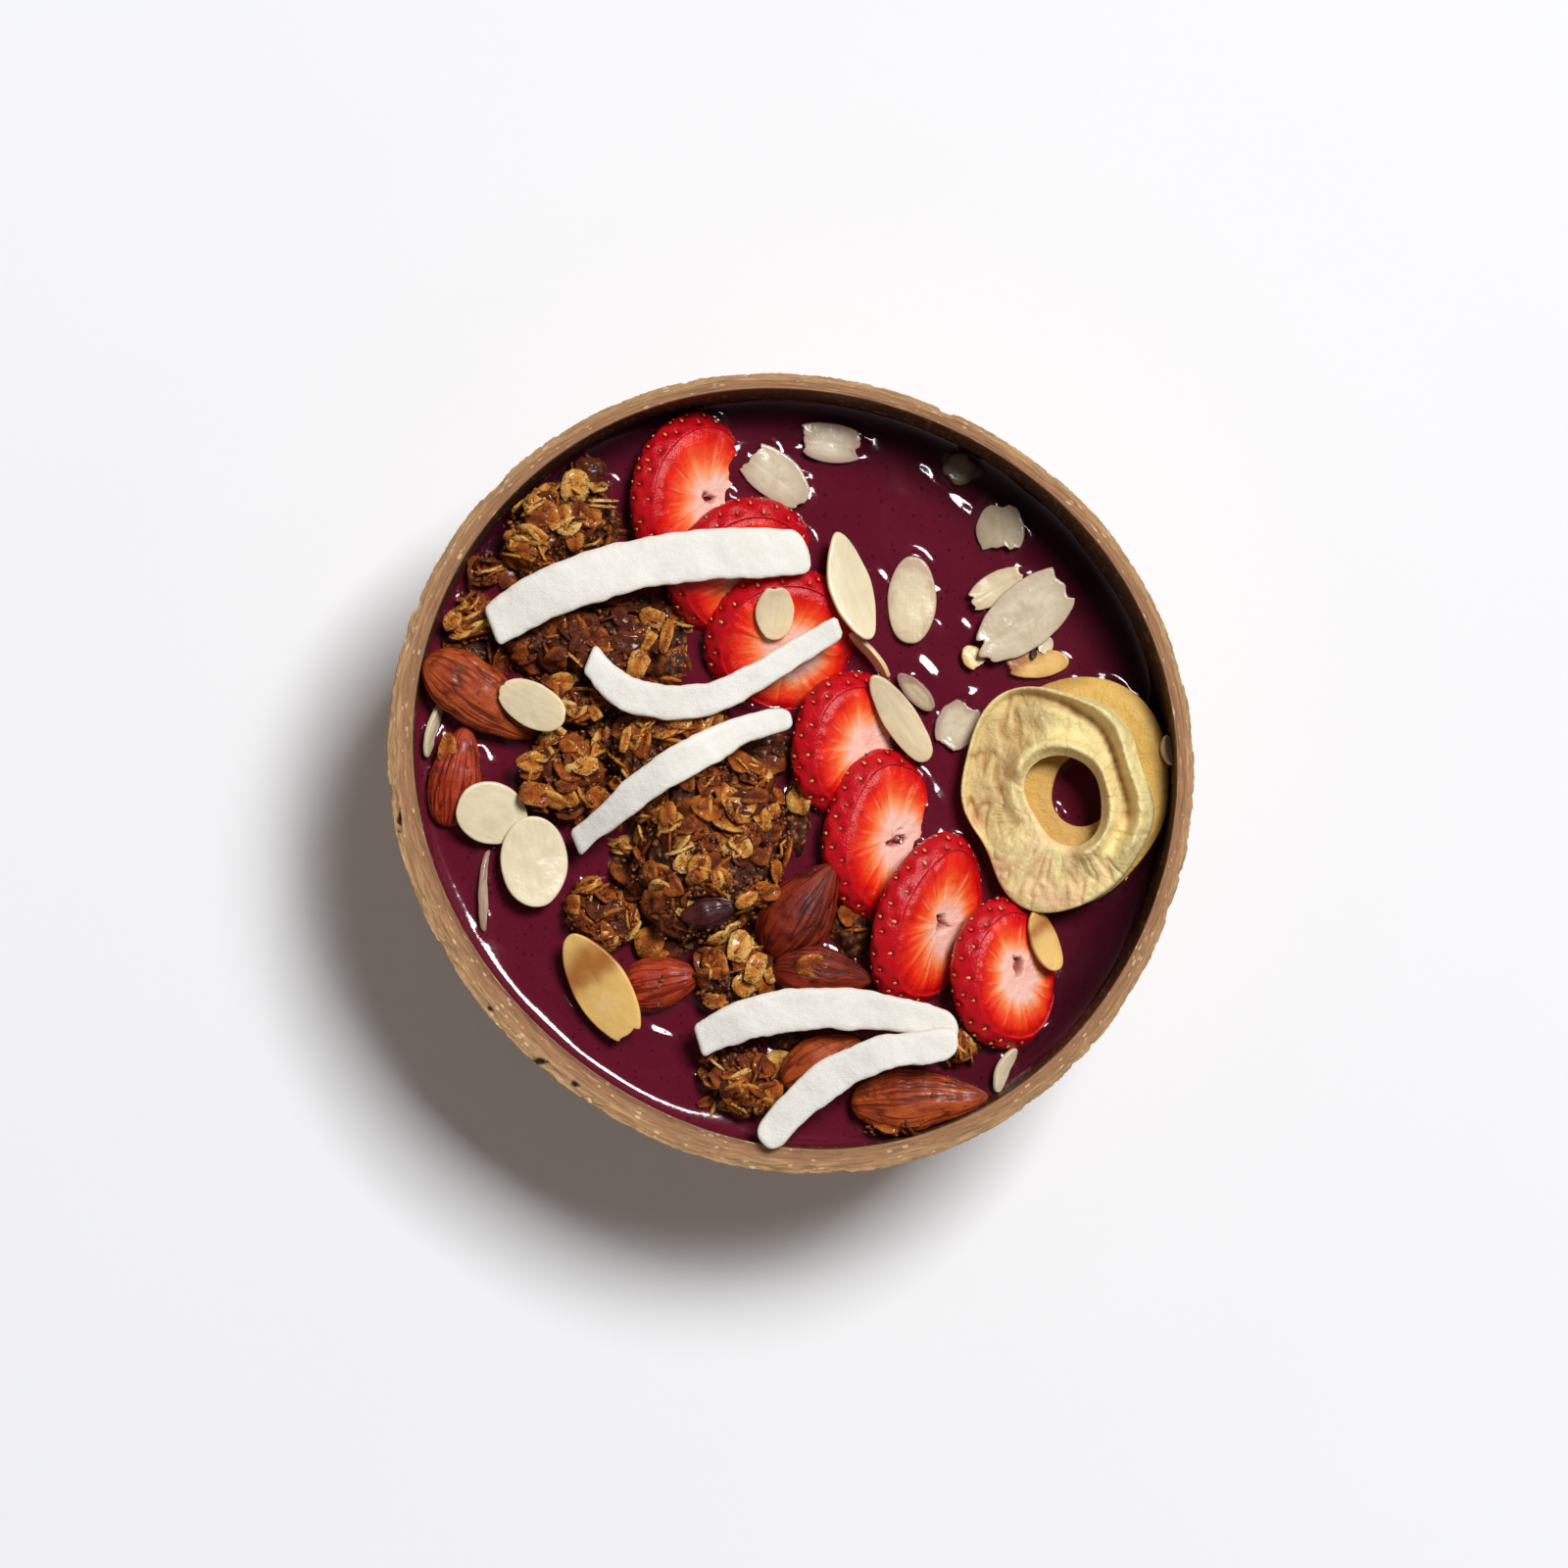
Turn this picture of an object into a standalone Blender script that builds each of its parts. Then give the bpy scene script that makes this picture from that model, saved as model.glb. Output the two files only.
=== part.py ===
"""Acai bowl: a coconut-shell bowl of fruit puree under granola, nuts, fruit and coconut strips.

Metres, +Z up, +X to the right and +Y to the back of the bowl as it is served. The tables below
are in millimetres and degrees; headings are counted from +X towards +Y.
"""

from math import cos, pi, radians, sin

import bmesh
import bpy
import numpy as np
from mathutils import Matrix, Vector, noise
from mathutils.bvhtree import BVHTree

MM = 0.001
GAP = 0.3 * MM
MERGE = 0.05 * MM

# Coconut shell: the turned profile before it is pushed out of round.
RIM_RADIUS = 70.1
RIM_HEIGHT = 61.0
FOOT_RADIUS = 19.0
WALL = 3.9
FLOOR = 5.0
RIM_BEVEL = 1.5
THINNER_FOOT = 3.0
TURNS = 52
RINGS = 6

# How the shell is out of round: (waves, size in mm, azimuth of the largest radius). It grows
# with height as a power of the share of the rim's height.
OUTLINE_WAVES = ((2, 1.62, 139.5), (3, 0.61, 35.0), (4, 0.28, 19.0))
WALL_WAVES = ((1, 1.25, 229.0), (2, 0.35, 41.0))
RIM_LEAN = 6.5
RIM_LEAN_AZIMUTH = 45.0
SWELL_POWER = 0.7

# The puree's level, how far it stands off the wall, and how far a cut stands off a topping.
LEVEL = 51.0
PUREE_GAP = 0.36
CUT_CLEARANCE = 0.5

# Height grid on which the toppings are laid one after another; it reaches past the bowl.
GRID_STEP = 0.5 * MM
GRID_HALF = 75.0 * MM

# Granola lumps: x, y, length, width, heading, height above the puree.
GRANOLA = (
    (-56.0, 27.0, 12.0, 11.0, 60, 5.0),
    (-52.5, 36.0, 7.5, 6.5, 50, 4.0),
    (-40.0, 43.0, 24.0, 21.0, 35, 9.0),
    (-35.0, 23.5, 31.0, 16.0, 5, 8.0),
    (-38.5, 13.0, 20.0, 12.0, -15, 6.5),
    (-38.5, 0.6, 20.0, 17.5, 20, 8.0),
    (-21.5, 5.0, 26.0, 15.0, 25, 9.0),
    (-32.4, -24.4, 15.0, 14.0, -20, 7.0),
    (-9.5, -34.5, 17.0, 16.0, 10, 9.0),
    (-8.6, -53.2, 16.0, 12.0, -25, 7.0),
    (30.0, -47.0, 9.0, 7.5, 60, 5.0),
    (18.6, -60.6, 14.5, 6.5, 10, 4.0),
    (-13.8, -11.4, 37.0, 29.0, 70, 14.0),
)
LUMP_WAIST = -0.3
LUMP_UNEVEN = 0.24
LUMP_GRAIN = 0.7

# Whole and chopped almonds: x, y and height of the middle over the puree, length, width,
# heading and pitch.
ALMONDS = (
    (-53.6, 13.2, 3.4, 22.5, 11.5, -36, -6),
    (-58.3, 0.4, 1.8, 17.5, 9.5, 78, 4),
    (2.6, -23.0, 4.2, 20.0, 12.5, 55, 6),
    (-22.0, -36.2, 2.6, 14.0, 9.5, 12, 6),
    (6.4, -34.8, 4.6, 17.0, 10.0, -6, 0),
    (6.0, -50.0, 2.6, 15.0, 9.5, 30, 0),
    (23.6, -56.8, 2.8, 23.5, 10.5, 3, 3),
)
ALMOND_THICKNESS = 0.72
ALMOND_POINT = 0.3
ALMOND_ENDS = 0.14
DRIED_FRUIT = (-13.8, -23.6, 9.6, 9.5, 5.5, 12, 0)

# Strawberry slices: x, y and height of the cut face's middle over the puree, its length and
# width, the heading of its length, the azimuth that it leans towards and the angle of the lean.
STRAWBERRIES = (
    (-14.4, 48.0, 2.4, 25.0, 21.5, 105, -10, 32),
    (-7.4, 34.8, 4.2, 22.5, 20.5, 70, -50, 29),
    (-0.8, 22.4, 4.0, 23.0, 21.5, 120, -60, 20),
    (12.6, 4.0, 3.0, 24.5, 18.0, 92, -15, 31),
    (18.3, -10.8, 2.8, 25.0, 19.0, 80, -12, 32),
    (26.3, -26.4, 5.6, 26.0, 17.5, 72, -20, 40),
    (39.6, -35.4, 5.4, 22.0, 17.0, 105, -8, 34),
)
SLICE_THICKNESS = 5.6
SLICE_FLARE = 2.6

# Dried apple rings: x, y, outer length and width, hole length and width, heading, pitch
# towards +X, and the height of the fold that runs round part of the ring.
APPLE_RINGS = (
    (51.0, -2.6, 39.0, 29.5, 13.0, 10.0, 85, -9, 1.0),
    (46.9, -3.7, 41.5, 33.5, 16.5, 13.5, 80, 0, 3.2),
)
APPLE_THICKNESS = 3.0
APPLE_HEIGHT = 6.0
APPLE_DROOP = 1.2
APPLE_RIPPLE = 0.5
APPLE_FOLD_AZIMUTH = -40.0
APPLE_LEAN = 11

# Almond flakes: x, y, length, width, heading and roll about the length. The first ones
# lie under the apple, and the last ones stand on edge at a height over the puree.
LOWER_FLAKES = (
    (-2.6, 52.4, 15.5, 8.0, -34, 4),
    (7.4, 58.4, 14.7, 6.6, -6, 0),
    (30.0, 53.8, 6.5, 5.5, 40, 0),
    (37.0, 43.1, 11.0, 8.6, 98, -6),
    (21.6, 31.2, 15.8, 8.6, 86, 0),
    (43.4, 19.6, 10.8, 4.8, 4, 0),
    (36.6, 32.8, 12.0, 5.4, 30, 10),
    (41.4, 28.2, 21.5, 11.0, 43, 0),
    (22.4, 14.4, 8.8, 3.6, -47, 24),
    (29.6, 9.0, 10.0, 7.4, 62, 0),
    (-52.2, -6.8, 12.6, 10.2, -30, 0),
    (-44.9, -14.8, 14.6, 11.4, 97, 4),
    (-32.9, -37.4, 20.0, 10.2, -61, 6),
)
UPPER_FLAKES = (
    (10.4, 33.6, 19.6, 8.8, 109, 12),
    (-2.4, 28.8, 10.6, 7.4, 82, 0),
    (19.6, 9.6, 18.8, 6.2, -55, 24),
    (-44.7, 12.2, 13.2, 8.0, -32, 0),
    (44.8, -29.2, 10.6, 5.2, -68, 0),
)
EDGE_FLAKES = (
    (14.2, 21.2, 10.0, 4.2, -48, 72, 3.4),
    (-62.4, 8.6, 10.0, 4.0, 76, 70, 1.4),
    (-53.4, -19.9, 14.5, 4.2, 87, 72, 0.2),
    (37.8, -51.6, 8.8, 4.2, 70, 52, 1.2),
)
FLAKE_THICKNESS = 1.1
FLAKE_START = 8.0
MOST_LEAN = 28

# Coconut strips: the middle line in plan, then the width at both ends.
STRIPS = (
    (((-52.1, 25.9), (-42.0, 31.6), (-28.3, 36.2), (-14.6, 38.3), (3.4, 38.9)), 8.0, 9.2),
    (((-35.0, 20.3), (-29.4, 14.9), (-21.7, 12.7), (-10.5, 14.6), (8.8, 26.0)), 6.2, 5.4),
    (((-37.4, -12.0), (-23.8, -1.0), (-15.2, 4.1), (-8.0, 8.0), (0.4, 9.9)), 6.8, 5.2),
    (((-16.0, -46.4), (-7.8, -42.6), (2.5, -40.7), (16.5, -41.3), (29.4, -44.2)), 7.4, 7.0),
    (((-4.7, -64.2), (0.8, -58.0), (7.6, -52.2), (16.2, -48.4), (29.3, -46.4)), 6.8, 6.6),
)
STRIP_THICKNESS = 2.0
STRIP_STATIONS = 13
STRIP_SMOOTHING = (0.25, 0.5, 0.25)

COLOURS = {
    "shell": ((0.36, 0.22, 0.12), 0.7),
    "puree": ((0.12, 0.016, 0.035), 0.15),
    "granola": ((0.23, 0.11, 0.035), 0.45),
    "almond": ((0.25, 0.065, 0.025), 0.4),
    "dried_fruit": ((0.07, 0.01, 0.01), 0.4),
    "strawberry": ((0.62, 0.03, 0.02), 0.3),
    "apple": ((0.72, 0.55, 0.25), 0.6),
    "flake": ((0.78, 0.68, 0.42), 0.5),
    "coconut": ((0.86, 0.84, 0.78), 0.7),
}


def clear_scene():
    for obj in list(bpy.data.objects):
        bpy.data.objects.remove(obj, do_unlink=True)


def make_collection():
    collection = bpy.data.collections.new("acai_bowl")
    bpy.context.scene.collection.children.link(collection)
    return collection


def make_material(name):
    colour, roughness = COLOURS[name]
    material = bpy.data.materials.new(name)
    material.use_nodes = True
    shader = material.node_tree.nodes["Principled BSDF"]
    shader.inputs["Base Color"].default_value = (*colour, 1.0)
    shader.inputs["Roughness"].default_value = roughness
    shader.inputs["Metallic"].default_value = 0.0
    return material


def object_from(bm, name, material, collection):
    """Turn a bmesh into a smooth-shaded object of the collection."""
    mesh = bpy.data.meshes.new(name)
    bmesh.ops.recalc_face_normals(bm, faces=bm.faces[:])
    bm.to_mesh(mesh)
    bm.free()
    mesh.shade_smooth()
    mesh.set_sharp_from_angle(angle=radians(40))
    mesh.materials.append(material)
    obj = bpy.data.objects.new(name, mesh)
    collection.objects.link(obj)
    return obj


def points_of(obj):
    points = np.empty(len(obj.data.vertices) * 3)
    obj.data.vertices.foreach_get("co", points)
    return points.reshape(-1, 3)


def reshape(obj, points):
    obj.data.vertices.foreach_set("co", np.asarray(points, np.float32).ravel())
    obj.data.update()


def bake(obj):
    """Replace an object's mesh by the result of its modifiers."""
    graph = bpy.context.evaluated_depsgraph_get()
    mesh = bpy.data.meshes.new_from_object(obj.evaluated_get(graph))
    old = obj.data
    obj.modifiers.clear()
    obj.data = mesh
    bpy.data.meshes.remove(old)


def keep_largest_body(obj):
    """Drop the crumbs that a cut can leave beside the piece."""
    bm = bmesh.new()
    bm.from_mesh(obj.data)
    left = set(bm.verts)
    bodies = []
    while left:
        body = set()
        front = {left.pop()}
        while front:
            body |= front
            front = {e.other_vert(v) for v in front for e in v.link_edges} - body
        left -= body
        bodies.append(body)
    largest = max(bodies, key=len)
    bmesh.ops.delete(bm, geom=[v for v in bm.verts if v not in largest], context="VERTS")
    bm.to_mesh(obj.data)
    bm.free()


def hull_round(obj, distance, collection):
    """The convex hull of an object grown by a distance, to cut its neighbour with."""
    bm = bmesh.new()
    for point in points_of(obj):
        bm.verts.new(point)
    made = bmesh.ops.convex_hull(bm, input=bm.verts[:], use_existing_faces=False)
    inner = {*made["geom_interior"], *made["geom_unused"]}
    bmesh.ops.delete(bm, geom=[v for v in bm.verts if v in inner], context="VERTS")
    bmesh.ops.recalc_face_normals(bm, faces=bm.faces[:])
    bm.normal_update()
    for vert in bm.verts:
        vert.co += vert.normal * distance
    mesh = bpy.data.meshes.new("cutter")
    bm.to_mesh(mesh)
    bm.free()
    cutter = bpy.data.objects.new("cutter", mesh)
    collection.objects.link(cutter)
    return cutter


def cut(target, cutter):
    """Cut the target by the cutter, which is then removed.

    The manifold solver is used because the exact one turns lumps inside out where many hulls
    cut one piece; both meshes are closed here, as it asks.
    """
    boolean = target.modifiers.new("cut", "BOOLEAN")
    boolean.object = cutter
    boolean.operation = "DIFFERENCE"
    boolean.solver = "MANIFOLD"
    bake(target)
    bpy.data.objects.remove(cutter, do_unlink=True)
    keep_largest_body(target)


def overlap(a, b):
    """Whether the boxes of two point sets come within a cut's clearance of each other."""
    margin = CUT_CLEARANCE * MM
    return bool(np.all(a.min(0) < b.max(0) + margin) and np.all(b.min(0) < a.max(0) + margin))


def carve(target, upper, collection):
    """Cut the target round a piece that is laid against it."""
    if overlap(points_of(target), points_of(upper)):
        cut(target, hull_round(upper, CUT_CLEARANCE * MM, collection))


# ---- Shell and puree ----


def waves(azimuth, table):
    return sum(size * np.cos(n * (azimuth - radians(peak))) for n, size, peak in table)


def wall_profile(foot, rim, floor, count):
    """Points of a shell wall from the foot up to the rim, an ellipse's quarter on a flat."""
    angles = [pi / 2 * i / count for i in range(count + 1)]
    reach, rise = rim - foot, RIM_HEIGHT - floor
    return [(foot + reach * sin(a), floor + rise * (1 - cos(a))) for a in angles]


def screw_solid(name, profile, material, collection):
    """Turn a profile, given in millimetres from the top of its outer side down and round."""
    bm = bmesh.new()
    verts = [bm.verts.new((r * MM, 0.0, z * MM)) for r, z in profile]
    for a, b in zip(verts, verts[1:]):
        bm.edges.new((a, b))
    mesh = bpy.data.meshes.new(name)
    bm.to_mesh(mesh)
    bm.free()
    mesh.materials.append(material)
    obj = bpy.data.objects.new(name, mesh)
    collection.objects.link(obj)
    screw = obj.modifiers.new("turn", "SCREW")
    screw.steps = TURNS
    screw.render_steps = TURNS
    screw.use_merge_vertices = True
    screw.merge_threshold = MERGE
    bake(obj)
    return obj


def outer_radius(height):
    """Radius of the turned outer wall at a height, both in millimetres."""
    share = np.clip(1 - height / RIM_HEIGHT, -1, 1)
    return FOOT_RADIUS + (RIM_RADIUS - FOOT_RADIUS) * np.sqrt(1 - share**2)


def out_of_round(points):
    """Push a turned shape to the shell's own outline, wall thickness and leaning rim."""
    x, y, z = points.T / MM
    radius = np.hypot(x, y)
    azimuth = np.arctan2(y, x)
    rise = np.clip(z / RIM_HEIGHT, 0, 1)
    inward = np.clip((outer_radius(z) - radius) / WALL, 0, 1)
    thicker = waves(azimuth, WALL_WAVES) * inward
    swell = waves(azimuth, OUTLINE_WAVES) * np.minimum(radius / RIM_RADIUS, 1)
    off_axis = np.minimum(radius / FOOT_RADIUS, 1)
    radius = radius + (swell - thicker) * rise**SWELL_POWER * off_axis
    lean = RIM_LEAN * rise**2 * np.cos(azimuth - radians(RIM_LEAN_AZIMUTH))
    z = z + lean * radius / RIM_RADIUS
    return np.stack((radius * np.cos(azimuth), radius * np.sin(azimuth), z), axis=1) * MM


def make_shell(collection):
    outside = wall_profile(FOOT_RADIUS, RIM_RADIUS, 0.0, RINGS)[:-1]
    bevel = [(RIM_RADIUS, RIM_HEIGHT - RIM_BEVEL), (RIM_RADIUS - RIM_BEVEL, RIM_HEIGHT)]
    inside = wall_profile(FOOT_RADIUS - THINNER_FOOT, RIM_RADIUS - WALL, FLOOR, RINGS)
    profile = inside[::-1] + [(0.0, FLOOR)]
    profile = [(0.0, 0.0)] + outside + bevel + profile
    obj = screw_solid("bowl", profile[::-1], make_material("shell"), collection)
    points = out_of_round(points_of(obj))
    off_centre = (points.min(0) + points.max(0)) / 2 * (1, 1, 0)
    reshape(obj, points - off_centre)
    return obj, off_centre


def make_puree(off_centre, collection):
    inside = wall_profile(FOOT_RADIUS - THINNER_FOOT, RIM_RADIUS - WALL, FLOOR, RINGS)
    stood_off = [(r - PUREE_GAP, z + PUREE_GAP) for r, z in inside]
    profile = [(0.0, stood_off[-1][1])] + stood_off[::-1] + [(0.0, stood_off[0][1])]
    obj = screw_solid("puree", profile, make_material("puree"), collection)
    reshape(obj, out_of_round(points_of(obj)) - off_centre)
    reach = GRID_HALF
    bpy.ops.mesh.primitive_cube_add(size=2 * reach)
    above = bpy.context.object
    above.location.z = LEVEL * MM + reach
    cut(obj, above)
    return obj


# ---- Laying one piece on another ----


class Heap:
    """Heights of everything in the bowl so far, seen from above on a square grid."""

    def __init__(self, shell):
        self.axis = np.arange(-GRID_HALF, GRID_HALF + GRID_STEP / 2, GRID_STEP)
        self.shell = self.tree(shell)
        self.rim = np.fmax(self.scan(shell, 1), -1.0)
        self.top = np.full_like(self.rim, -1.0)

    def tree(self, obj):
        corners = [vert.co for vert in obj.data.vertices]
        return BVHTree.FromPolygons(corners, [face.vertices for face in obj.data.polygons])

    def scan(self, obj, side):
        """Heights of an object's top (side 1) or underside (side -1), NaN where it isn't."""
        tree = self.tree(obj)
        points = points_of(obj)
        first = np.searchsorted(self.axis, points.min(0)[:2])
        last = np.searchsorted(self.axis, points.max(0)[:2])
        heights = np.full((len(self.axis), len(self.axis)), np.nan)
        down = Vector((0, 0, -side))
        for i in range(first[0], last[0]):
            for j in range(first[1], last[1]):
                hit = tree.ray_cast(Vector((self.axis[i], self.axis[j], side)), down)[0]
                if hit:
                    heights[i, j] = hit.z
        return heights

    def widened(self, heights):
        """Each cell's height or that of its highest neighbour."""
        result = heights.copy()
        for axis in (0, 1):
            for shift in (-1, 1):
                result = np.fmax(result, np.roll(result, shift, axis))
        return result

    def ground(self):
        return np.maximum(self.top, LEVEL * MM)

    def add(self, obj):
        self.top = np.fmax(self.top, self.scan(obj, 1))

    def lean_on(self, obj, limit):
        """Tilt a piece to the mean slope of what lies under it, up to a limit in degrees."""
        under = self.scan(obj, -1)
        i, j = np.nonzero(np.isfinite(under))
        heights = self.ground()[i, j]
        plane = np.stack((self.axis[i], self.axis[j], np.ones(len(i))), axis=1)
        slope = np.linalg.lstsq(plane, heights, rcond=None)[0]
        normal = Vector((-slope[0], -slope[1], 1.0)).normalized()
        angle = min(normal.angle(Vector((0, 0, 1))), radians(limit))
        middle = points_of(obj).mean(0)
        turn = np.array(Matrix.Rotation(angle, 3, Vector((0, 0, 1)).cross(normal)))
        reshape(obj, (points_of(obj) - middle) @ turn.T + middle)

    def tuck(self, obj):
        """Draw in what would reach into the shell's wall."""
        points = points_of(obj)
        for point in points:
            radius = float(np.hypot(point[0], point[1]))
            outward = Vector((point[0] / radius, point[1] / radius, 0.0))
            wall = self.shell.ray_cast(Vector((0, 0, point[2])), outward)[3]
            if wall and radius > wall - 2 * GAP:
                point[:2] *= (wall - 2 * GAP) / radius
        reshape(obj, points)

    def drop(self, obj):
        """Lower a piece until it lies a gap above what carries it."""
        self.tuck(obj)
        room = self.scan(obj, -1) - self.widened(self.ground())
        points = points_of(obj)
        points[:, 2] -= np.nanmin(room) - GAP
        reshape(obj, points)
        self.tuck(obj)


# ---- Toppings ----


def noise_at(points, size, seed):
    """Smooth noise of a size in millimetres, at points in metres."""
    shift = Vector((seed * 7.1, seed * 3.3, 0))
    return np.array([noise.noise(Vector(p) / (size * MM) + shift) for p in points])


def placed(points, x, y, height, heading, roll=0.0, pitch=0.0):
    """Turn points in millimetres about their own axes and set them down in the bowl."""
    turn = (
        Matrix.Rotation(radians(heading), 3, "Z")
        @ Matrix.Rotation(radians(-pitch), 3, "Y")
        @ Matrix.Rotation(radians(roll), 3, "X")
    )
    return (points @ np.array(turn).T + (x, y, LEVEL + height)) * MM


def make_lump(name, row, seed, material, collection):
    """A granola lump: a squat ball with an uneven skin and a flat underside on the puree."""
    x, y, length, width, heading, height = row
    bm = bmesh.new()
    bmesh.ops.create_uvsphere(bm, u_segments=9, v_segments=7, radius=1.0)
    everything = bm.verts[:] + bm.edges[:] + bm.faces[:]
    made = bmesh.ops.bisect_plane(
        bm, geom=everything, plane_co=(0, 0, LUMP_WAIST), plane_no=(0, 0, 1), clear_inner=True
    )
    open_edges = [e for e in made["geom_cut"] if isinstance(e, bmesh.types.BMEdge)]
    bmesh.ops.contextual_create(bm, geom=open_edges)
    obj = object_from(bm, name, material, collection)
    points = points_of(obj)
    low = points[:, 2] < LUMP_WAIST + 0.01
    points *= 1 + LUMP_UNEVEN * noise_at(points * MM, LUMP_GRAIN, seed)[:, None]
    rise = (points[:, 2] - LUMP_WAIST) / (1 - LUMP_WAIST) * height
    points[:, 2] = np.where(low, 0.0, rise) + GAP / MM
    points *= (length / 2, width / 2, 1.0)
    reshape(obj, placed(points, x, y, 0.0, heading))
    return obj


def make_almond(name, row, material, collection):
    """An almond: an egg shape drawn out to a point at its heading end."""
    x, y, height, length, width, heading, pitch = row
    bm = bmesh.new()
    bmesh.ops.create_uvsphere(bm, u_segments=9, v_segments=7, radius=1.0)
    bmesh.ops.rotate(bm, verts=bm.verts[:], matrix=Matrix.Rotation(pi / 2, 3, "Y"))
    obj = object_from(bm, name, material, collection)
    points = points_of(obj)
    along = points[:, 0]
    taper = 1 - ALMOND_POINT * along - ALMOND_ENDS * along**2
    points[:, 1] *= taper
    points[:, 2] *= taper
    points *= (length / 2, width / 2, width / 2 * ALMOND_THICKNESS)
    reshape(obj, placed(points, x, y, height, heading, pitch=pitch))
    return obj


def make_slice(name, row, seed, material, collection):
    """A strawberry slice: a flared disc whose cut face leans to one side."""
    x, y, height, length, width, heading, lean_azimuth, lean = row
    bm = bmesh.new()
    bmesh.ops.create_cone(bm, cap_ends=True, segments=18, radius1=1.0, radius2=1.0, depth=1.0)
    sides = bm.verts[:] + bm.edges[:] + bm.faces[:]
    bmesh.ops.bisect_plane(bm, geom=sides, plane_co=(0, 0, 0), plane_no=(0, 0, 1))
    obj = object_from(bm, name, material, collection)
    points = points_of(obj)
    azimuth = np.arctan2(points[:, 1], points[:, 0])
    depth = 0.5 - points[:, 2]
    uneven = 1 + 0.035 * np.cos(2 * azimuth + seed) + 0.03 * np.cos(3 * azimuth + 2 * seed)
    flare = SLICE_FLARE * np.sin(depth * 0.75 * pi)
    points[:, 0] = np.cos(azimuth) * (length / 2 * uneven + flare)
    points[:, 1] = np.sin(azimuth) * (width / 2 * uneven + flare)
    points[:, 2] = -depth * SLICE_THICKNESS
    turn = np.array(Matrix.Rotation(radians(heading - lean_azimuth), 3, "Z"))
    tip = np.array(Matrix.Rotation(radians(lean), 3, "Y"))
    points = points @ turn.T @ tip.T
    reshape(obj, placed(points, x, y, height, lean_azimuth))
    return obj


def make_apple_ring(name, row, material, collection):
    """A dried apple ring: a flat band with a wavy edge and a fold along part of it."""
    x, y, length, width, hole_length, hole_width, heading, pitch, fold = row
    bpy.ops.mesh.primitive_torus_add(
        major_segments=22, minor_segments=6, major_radius=1.0, minor_radius=0.4
    )
    obj = bpy.context.object
    obj.name = obj.data.name = name
    for user in obj.users_collection:
        user.objects.unlink(obj)
    collection.objects.link(obj)
    obj.data.materials.append(material)
    obj.data.shade_smooth()
    points = points_of(obj)
    azimuth = np.arctan2(points[:, 1], points[:, 0])
    across = (np.hypot(points[:, 0], points[:, 1]) - 1.0) / 0.4
    up = points[:, 2] / 0.4
    share = (1 + across) / 2
    waved = 1 + 0.03 * np.cos(3 * azimuth + 1) + 0.02 * np.cos(5 * azimuth)
    points[:, 0] = np.cos(azimuth) * (hole_length * (1 - share) + length * share * waved) / 2
    points[:, 1] = np.sin(azimuth) * (hole_width * (1 - share) + width * share * waved) / 2
    crest = fold * (0.5 + 0.5 * np.cos(azimuth - radians(APPLE_FOLD_AZIMUTH))) * (1 - share)
    droop = APPLE_RIPPLE * np.cos(4 * azimuth) * share - APPLE_DROOP * share**2
    points[:, 2] = up * APPLE_THICKNESS / 2 + crest + droop
    tip = np.array(Matrix.Rotation(radians(pitch), 3, "Y"))
    turn = np.array(Matrix.Rotation(radians(heading), 3, "Z"))
    points = points @ turn.T @ tip.T
    reshape(obj, placed(points, x, y, APPLE_HEIGHT, 0.0))
    return obj


def make_flake(name, row, height, seed, material, collection):
    """An almond flake: a thin, slightly cupped oval with an uneven edge."""
    x, y, length, width, heading, roll = row
    bm = bmesh.new()
    bmesh.ops.create_cone(bm, cap_ends=True, segments=12, radius1=1.0, radius2=1.0, depth=1.0)
    obj = object_from(bm, name, material, collection)
    points = points_of(obj)
    azimuth = np.arctan2(points[:, 1], points[:, 0])
    uneven = 1 + 0.05 * np.cos(3 * azimuth + seed) + 0.04 * np.cos(5 * azimuth + 2 * seed)
    narrow = 1 - 0.16 * np.cos(azimuth)
    points[:, 0] = np.cos(azimuth) * length / 2 * uneven
    points[:, 1] = np.sin(azimuth) * width / 2 * uneven * narrow
    points[:, 2] *= FLAKE_THICKNESS
    reshape(obj, placed(points, x, y, height, heading, roll=roll))
    return obj


def spline(points, count):
    """Points along a Catmull-Rom curve through the given ones, evenly spread in its parameter."""
    ends = [2 * points[0] - points[1], *points, 2 * points[-1] - points[-2]]
    result = []
    for t in np.linspace(0, len(points) - 1, count):
        i = min(int(t), len(points) - 2)
        a, b, c, d = ends[i : i + 4]
        u = t - i
        square = 2 * a - 5 * b + 4 * c - d
        cube = 3 * b - a - 3 * c + d
        result.append((2 * b + (c - a) * u + square * u**2 + cube * u**3) / 2)
    return np.array(result)


def taut(distance, heights):
    """The heights of a stiff strip laid over a profile: its upper hull."""
    hull = [0]
    for i in range(1, len(distance)):
        while len(hull) > 1:
            a, b = hull[-2], hull[-1]
            bend = (heights[b] - heights[a]) * (distance[i] - distance[a])
            if bend > (heights[i] - heights[a]) * (distance[b] - distance[a]):
                break
            hull.pop()
        hull.append(i)
    return np.interp(distance, distance[hull], heights[hull])


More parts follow.
